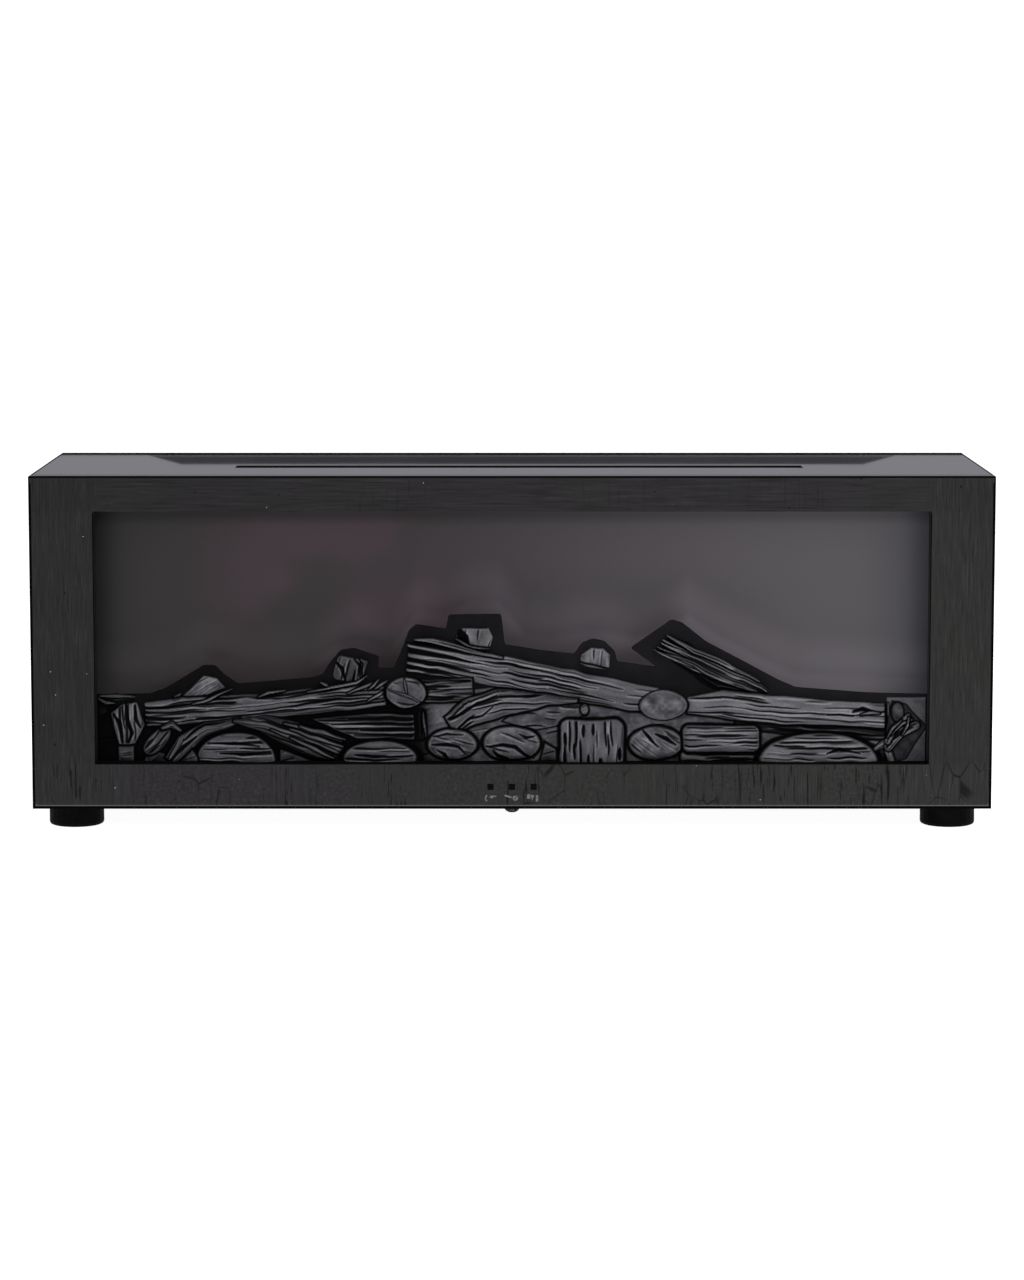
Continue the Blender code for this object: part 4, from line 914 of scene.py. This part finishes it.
def lay_right_logs(relief):
    """The middle and the right half of the pile. Places are in millimetres."""
    x, z, lay = relief.bent_x, relief.bent_z, relief.lay

    # The smooth face with its knot, and the curved branch over it.
    flat = [(-8, 90), (20, 82), (47, 88), (62, 97), (54, 106), (8, 101)]
    lay(facet(x, z, flat), 2.2, 4, face(51, -5, 9), base=1.5, tone=0.54, outline=0.8)
    branch = [(-51, 86), (-33, 98), (-10, 105), (8, 106.5), (30, 107.5), (54, 107)]
    lay(bar(x, z, branch, [8, 11.5, 11, 9, 4.5, 1.6]), 7, 8, bark(53, 5.6, 1.6, 1.1), tone=0.56)
    relief.gash([(-52, 92), (-40, 97), (-28, 106), (-12, 111)], [1.2, 1.2, 1, 0.4])
    relief.gash([(-44, 85), (-34, 92), (-24, 95), (-16, 103)], [1, 1.2, 0.8, 0.3])
    lay(oval(x, z, (60, 99.5), 2.9, 3.8), 2.6, 1.6, face(54), tone=0.72, outline=1.2, rim_highlight=0)

    # The front row.
    lay(oval(x, z, (-49.5, 70), 20, 13.2), 8, 4.5, face(67, -12, 14), tone=0.55, rim_highlight=0.28)
    relief.gash([(-66, 70.5), (-54, 70.5), (-44, 68), (-36, 60)], [0.6, 1.6, 1.1, 0.3])
    relief.gash([(-62, 66), (-56, 62), (-53, 57)], [0.5, 1.5, 0.8])
    relief.gash([(-66, 76.5), (-54, 80), (-40, 79)], [0.3, 0.9, 0.3])
    lay(facet(x, z, [(24, 56), (38, 56), (36, 66), (28, 71)]), 2.5, 4, face(68), tone=0.50)
    lay(oval(x, z, (-0.5, 71), 23.5, 14.2), 8, 4.5, face(69, -15, 14), tone=0.57, rim_highlight=0.28)
    relief.gash([(-22, 69), (-8, 70.5), (3, 68.5), (11, 61), (18, 58.5)], [0.5, 1.4, 1.7, 1.3, 0.5])
    relief.gash([(-16, 66), (-11, 61), (-4, 58)], [0.6, 1.7, 1])
    relief.gash([(6, 80), (12, 76.5), (19, 77)], [0.4, 1.2, 0.4])
    columns = upright_bark(71, 6.2, 0.9, 1.45)
    lay(slab(x, z, (66.5, 69), 26.5, 21.5, 7), 9, 8, columns, tone=0.60, outline=2.3, rim_highlight=0.2)
    lay(oval(x, z, (120, 71), 22, 14), 8, 4.5, face(73, -35, 12), tone=0.56, rim_highlight=0.28)
    relief.gash([(109, 82), (115, 75), (122, 68.5)], [0.8, 1.2, 0.3])
    relief.gash([(119, 79), (128, 76), (136, 70)], [0.8, 1.8, 0.5])
    lay(slab(x, z, (172, 59), 31.5, 4, 3), 5, 4, bark(74, 2.8, 0.1), tone=0.60)
    strips = bark(75, 3.4, 0.15, 0.9, 0.7, 34)
    lay(slab(x, z, (174, 74.5), 31.5, 11, 5), 8.5, 7, strips, tone=0.64, outline=2, rim_highlight=0.16)
    half_round = oval(x, z, (255.5, 55), 49, 24.5)
    lay(half_round, 9, 10, bark(77, 4.4, 0.25, 0.8), tone=0.62, outline=2.4, rim_highlight=0.16)
    relief.gash([(262, 63), (272, 67), (290, 63)], [0.4, 1.5, 0.4])

    # The smooth cut end over the middle right.
    smooth = face(84, -10, 0, 1.5)
    lay(oval(x, z, (126, 103.2), 19.8, 12.6), 10, 4, smooth, tone=0.56, outline=0.7, rim_highlight=0.22)

    # The right-hand corner plate with its forked twig, and a darker patch painted on the plate as shadow.
    corner = [(312, 50), (352, 50), (352, 110), (312, 110)]
    lay(facet(x, z, corner), 2, 2, face(83, 0, 0, 0.4), tone=0.50)
    relief.splinter([(313.2, 105), (313, 92), (312.6, 76)], 0.7, 0.8, 0.6)
    shadow_diamond = [(320, 56), (328, 58), (344, 85), (328, 103), (317, 106), (313, 92), (312, 70)]
    lay(facet(x, z, shadow_diamond), 0.4, 3, face(85, 60, 0, 0.5), tone=0.30, outline=0.8, rim_highlight=0)
    lay(oval(x, z, (321, 97), 5, 7.8), 4.5, 3, face(91, 60, 0), tone=0.36, outline=0.8)
    twig = bark(86, 2.2, 0.4, 0.9)
    for points, radii in (
        ([(303, 66), (311, 71), (317, 55)], [1.5, 3.2, 2.6]),
        ([(314, 68), (323, 79), (336, 86)], [3.6, 3.8, 3.4]),
        ([(313, 72), (319, 84), (330, 94)], [2.4, 2, 1.6]),
    ):
        lay(bar(x, z, points, radii, False, False), 4.5, 4, twig, tone=0.58, outline=1)
    relief.gash([(318, 74), (326, 81), (334, 85)], [0.4, 1.1, 0.4])
    for points in (
        [(316, 78), (324, 87), (333, 91.5)],
        [(313, 76), (317, 84), (324, 90)],
        [(325, 78), (329, 86), (330, 93)],
    ):
        relief.splinter(points, 0.8, 0.9)


# The top edge of the moulded panel from left to right, in millimetres.
SKYLINE = [
    (-355.5, 112), (-303, 112.5), (-290, 117), (-270, 129), (-258, 136.5), (-248, 136.5),
    (-241, 129), (-229, 121), (-168, 126), (-158, 129), (-152, 139), (-143, 149.5),
    (-132, 151), (-111, 144), (-112, 134), (-99, 134), (-94, 145), (-86, 166),
    (-80, 171), (-55, 167), (-53, 179), (-9, 179.5), (-6, 154), (22, 149.5),
    (52, 146), (58, 155), (67, 159), (77, 157), (86, 148), (88, 139.5),
    (121, 135), (99, 151), (133, 175), (142, 172.5), (162, 156.5), (199, 137),
    (222, 124.5), (237, 118), (296, 113.5), (355.5, 112),
]


def rounded_skyline(reach=2.2, steps=3):
    """The skyline with each corner rounded by a short curve."""
    corners = [Vector(point) for point in SKYLINE]
    points = [corners[0]]
    for before, corner, after in zip(corners, corners[1:], corners[2:]):
        back, ahead = before - corner, after - corner
        start = corner + back.normalized() * min(reach, back.length * 0.4)
        end = corner + ahead.normalized() * min(reach, ahead.length * 0.4)
        for step in range(steps + 1):
            t = step / steps
            points.append(start * (1 - t) ** 2 + corner * 2 * t * (1 - t) + end * t ** 2)
    points.append(corners[-1])
    return points


def show(name, data):
    """Puts a mesh, curve, light or camera into the scene."""
    obj = bpy.data.objects.new(name, data)
    bpy.context.scene.collection.objects.link(obj)
    return obj


def show_shape(name, shape, material):
    """Puts a bmesh into the scene and frees it."""
    mesh = bpy.data.meshes.new(name)
    shape.to_mesh(mesh)
    shape.free()
    mesh.materials.append(material)
    return show(name, mesh)


def set_tone(mesh, values):
    """Stores the tone that the charcoal material reads."""
    tone = mesh.attributes.new("tone", "FLOAT", "POINT")
    tone.data.foreach_set("value", values.astype(np.float32))


def log_plate(material):
    """The thin moulded sheet with the skyline for its top edge."""
    outline = [(p.x * MM, p.y * MM) for p in rounded_skyline()]
    outline += [(PANEL_HIGH.x, PANEL_LOW.z), (PANEL_LOW.x, PANEL_LOW.z)]
    curve = bpy.data.curves.new("log_plate", "CURVE")
    curve.dimensions = "2D"
    curve.fill_mode = "BOTH"
    edge = 0.0005
    curve.extrude = (PLATE_BACK - PLATE_FACE) / 2 - edge
    curve.bevel_depth = edge
    curve.bevel_resolution = 1
    curve.offset = -edge
    spline = curve.splines.new("POLY")
    spline.points.add(len(outline) - 1)
    for point, (x, z) in zip(spline.points, outline):
        point.co = (x, z, 0.0, 1.0)
    spline.use_cyclic_u = True
    drawn = show("log_plate", curve)
    filled = drawn.evaluated_get(bpy.context.evaluated_depsgraph_get())
    shape = bmesh.new()
    shape.from_mesh(bpy.data.meshes.new_from_object(filled))
    bpy.data.objects.remove(drawn)
    bmesh.ops.remove_doubles(shape, verts=shape.verts, dist=1e-6)
    for vertex in shape.verts:
        across, up, out = vertex.co
        vertex.co = (across, (PLATE_FACE + PLATE_BACK) / 2 - out, up)
    bmesh.ops.recalc_face_normals(shape, faces=shape.faces)
    places = np.array([vertex.co.x / MM for vertex in shape.verts])
    plate = show_shape("log_plate", shape, material)
    set_tone(plate.data, plate_tone(places))
    return plate


def coarser(grid):
    """The mean of each small block of a grid, so that fine strokes come out smooth."""
    columns, rows = grid.shape[0] // FINER, grid.shape[1] // FINER
    return grid.reshape(columns, FINER, rows, FINER).mean(axis=(1, 3))


def log_relief(material):
    """The relief as one closed mesh: the fine front, a flat back inside the plate, and walls between."""
    relief = Relief()
    for lay_part in (lay_bed, lay_back_logs, lay_left_logs, lay_right_logs):
        lay_part(relief)
    paler = np.interp(relief.x, [-340.0, -100.0, 80.0, 300.0], [0.97, 1.00, 1.03, 1.07])
    grid_x, grid_z, grid_tone = coarser(relief.x), coarser(relief.z), coarser(relief.tone * paler)
    height = np.maximum(coarser(relief.height), FLUSH)
    shown = height > FLUSH + 0.02
    faced_cells = shown[:-1, :-1] | shown[1:, :-1] | shown[:-1, 1:] | shown[1:, 1:]
    used = np.zeros(shown.shape, bool)
    columns, rows = faced_cells.shape
    for right in (0, 1):
        for above in (0, 1):
            used[right : right + columns, above : above + rows] |= faced_cells
    index = np.full(shown.shape, -1)
    index[used] = np.arange(used.sum())
    total = int(used.sum())

    x, z, rise = grid_x[used] * MM, grid_z[used] * MM, height[used] * MM
    front = np.column_stack([x, PLATE_FACE - rise, z])
    back = np.column_stack([x, np.full(total, RELIEF_BACK), z])
    column, row = np.nonzero(faced_cells)
    corners = ((0, 0), (1, 0), (1, 1), (0, 1))
    quads = np.column_stack([index[column + right, row + above] for right, above in corners])
    faces = np.vstack([quads, quads[:, ::-1] + total, rim_walls(faced_cells, index, total)])
    mesh = bpy.data.meshes.new("log_relief")
    mesh.from_pydata(np.vstack([front, back]).tolist(), [], faces.tolist())
    mesh.materials.append(material)
    set_tone(mesh, np.tile(grid_tone[used], 2))
    mesh.shade_smooth()
    return show("log_relief", mesh)


def rim_walls(faced_cells, index, total):
    """Quads that join the front to the back along the left, right, low and high edges of the cells."""
    padded = np.pad(faced_cells, 1)
    columns, rows = faced_cells.shape
    walls = []
    for (du, dv), ends in (
        ((-1, 0), ((0, 1), (0, 0))),
        ((1, 0), ((1, 0), (1, 1))),
        ((0, -1), ((0, 0), (1, 0))),
        ((0, 1), ((1, 1), (0, 1))),
    ):
        neighbour = padded[1 + du : 1 + du + columns, 1 + dv : 1 + dv + rows]
        column, row = np.nonzero(faced_cells & ~neighbour)
        first, second = [index[column + right, row + above] for right, above in ends]
        walls.append(np.column_stack([second, first, first + total, second + total]))
    return np.vstack(walls)


def arc(centre, radius, start, end, step):
    """Points on a circle between two angles in degrees, measured from straight up."""
    turn = step if end > start else -step
    angles = [radians(angle) for angle in range(start, end + turn, turn)]
    return [(centre[0] + radius * sin(a), centre[1] + radius * cos(a)) for a in angles]


def box_outline(left, right, low, high):
    return [(left, low), (right, low), (right, high), (left, high)]


def button_marks(ink):
    """Marks printed under the buttons: an arc and a blot, a slant and a ring, two bars and a wedge."""
    bow, ring = (-1.0, 0.1), (2.8, 0.0)
    blot = [(-0.5, 0.4), (1.2, -0.2), (2.6, 1.1), (4.8, 1.2), (4.8, 2.2), (-0.5, 2.3)]
    slant = [(-6.2, 1.6), (0.4, -0.2), (0.4, 1.1), (-5.9, 3.0)]
    wedge = [(-1.2, -2.1), (0.5, 2.5), (-2.2, 2.5)]
    # The outlines of each button's marks, in millimetres from the middle of its row.
    power = [arc(bow, 3.7, 215, 325, 22) + arc(bow, 2.6, 325, 215, 22), blot]
    flame = [slant, arc(ring, 2.2, 0, 350, 25) + arc(ring, 0.7, 350, 0, 25)]
    heat = [box_outline(-5.5, -2.7, -0.3, 3.2), wedge, box_outline(1.9, 3.8, -3.0, 2.4)]
    placed = []
    for name, outlines in zip(BUTTONS, (power, flame, heat)):
        middle = (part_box(name)[0].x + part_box(name)[1].x) / 2
        placed += [[(middle + x * MM, MARK_Z + z * MM) for x, z in outline] for outline in outlines]
    shape = bmesh.new()
    for outline in placed:
        near = [shape.verts.new((x, FRONT - INK_THICKNESS, z)) for x, z in outline]
        far = [shape.verts.new((x, FRONT + INK_THICKNESS, z)) for x, z in outline]
        shape.faces.new(near)
        shape.faces.new(far[::-1])
        for n in range(len(outline)):
            following = (n + 1) % len(outline)
            shape.faces.new((near[following], near[n], far[n], far[following]))
    bmesh.ops.recalc_face_normals(shape, faces=shape.faces)
    marks = show_shape("button_marks", shape, ink)
    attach(marks, "cabinet")


# ---------------------------------------------------------------- stage


def make_camera():
    camera = bpy.data.cameras.new("camera")
    camera.lens = LENS_MM
    camera.sensor_width = SENSOR_MM
    camera.clip_end = 100.0
    obj = show("camera", camera)
    obj.location = (0.0, FRONT - CAMERA_DISTANCE, CAMERA_HEIGHT)
    obj.rotation_euler = (pi / 2 - CAMERA_PITCH, 0.0, 0.0)
    bpy.context.scene.camera = obj


def make_world():
    """White to the camera, a softer white as a light, and faintly blue where a gloss mirrors it."""
    world = bpy.data.worlds.new("studio")
    bpy.context.scene.world = world
    world.use_nodes = True
    tree = world.node_tree
    background = tree.nodes["Background"].inputs
    rays = add(tree, "LightPath").outputs
    colour = blend(rays["Is Glossy Ray"], (0.985, 0.985, 1.0), (0.915, 0.915, 1.0))
    set_input(background["Color"], colour)
    strength = between(rays["Is Camera Ray"], 0.0, 1.0, WORLD_LIGHT, BACKGROUND_WHITE)
    set_input(background["Strength"], strength)


def make_floor():
    """A pale floor that glows a little, as a light table does, so that its shadows stay soft."""
    pale = mottled("pale_floor", 0.58, 0.60, 0.9, 0.1, scale=2.0, grit=40.0, depth=0.0)
    shader = pale.node_tree.nodes["Principled BSDF"]
    shader.inputs["Emission Color"].default_value = with_alpha(1.0)
    shader.inputs["Emission Strength"].default_value = FLOOR_GLOW
    shape = bmesh.new()
    bmesh.ops.create_circle(shape, cap_ends=True, segments=96, radius=FLOOR_RADIUS)
    floor = show_shape("floor", shape, pale)


def grey_paint():
    """The grey card's paint: pale near its foot and darker above."""
    material, tree, shader = new_material("card_grey")
    up = between_straight(axis_of(tree, "Z"), GREY_CARD[0][2], GREY_CARD[1][2])
    grey, pale = (0.070, 0.068, 0.080), (0.22, 0.22, 0.25)
    tone = ramp(up, [(0.58, pale), (0.66, grey), (0.96, grey), (1.0, (0.10, 0.10, 0.12))])
    cloud = between(noise(place(tree), 9.0, 3.0), 0.3, 0.7, 0.92, 1.08)
    set_shader(shader, blend(1.0, tone, cloud, "MULTIPLY"), 0.9, 0.0)
    return material


def make_cards():
    """The two cards behind the case that only glossy surfaces see."""
    black = mottled("card_black", 0.0004, 0.0008, 0.9, 0.0)
    for name, (low, top), y, paint in (
        ("grey_card", GREY_CARD, CARD_Y, grey_paint()),
        ("black_foot", BLACK_FOOT, CARD_Y - 0.001, black),
    ):
        corners = [(low[0], y, low[2]), (low[1], y, low[2]), (top[1], y, top[2]), (top[0], y, top[2])]
        mesh = bpy.data.meshes.new(name)
        mesh.from_pydata(corners, [], [(0, 1, 2, 3)])
        mesh.materials.append(paint)
        card = show(name, mesh)
        card.visible_camera = False
        card.visible_diffuse = False
        card.visible_shadow = False


def make_light(name, place_at, aim_at, size, power):
    light = bpy.data.lights.new(name, "AREA")
    light.shape = "RECTANGLE"
    light.size, light.size_y = size
    light.energy = power
    obj = show(name, light)
    obj.location = place_at
    direction = Vector(aim_at) - Vector(place_at)
    obj.rotation_euler = direction.to_track_quat("-Z", "Y").to_euler()


def make_stage():
    make_camera()
    make_world()
    make_floor()
    make_cards()
    make_light("top_softbox", (0.5, -0.7, 2.6), (0.0, -0.2, 0.15), (2.4, 1.6), 75.0)
    make_light("front_softbox", (1.8, -3.0, 1.4), (0.0, 0.0, 0.15), (1.2, 1.2), 16.0)
    bpy.context.scene.view_settings.view_transform = "Standard"


# ---------------------------------------------------------------- put together


def finish_nodes(materials):
    """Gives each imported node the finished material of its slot, or its own."""
    slots = {part["node"]: part["material_slot"] for part in frame["record"]["subparts"]}
    cap = mottled("button_cap", 0.0010, 0.0024, 0.6, 0.03, scale=200.0)
    special = {"top_panel": case_enamel(), **dict.fromkeys(BUTTONS, cap)}
    for name, node in NODES.items():
        node.data.materials.clear()
        node.data.materials.append(special.get(name, materials[slots[name]]))


def build_logs(material):
    for piece in (log_plate(material), log_relief(material)):
        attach(piece, "cabinet")
        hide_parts("log_panel")


materials = make_materials()
finish_nodes(materials)
build_logs(materials["log_charcoal"])
button_marks(mottled("printed_ink", (0.055, 0.055, 0.060), (0.170, 0.170, 0.180), 0.6, 0.2, 420.0, 2000.0))
make_stage()
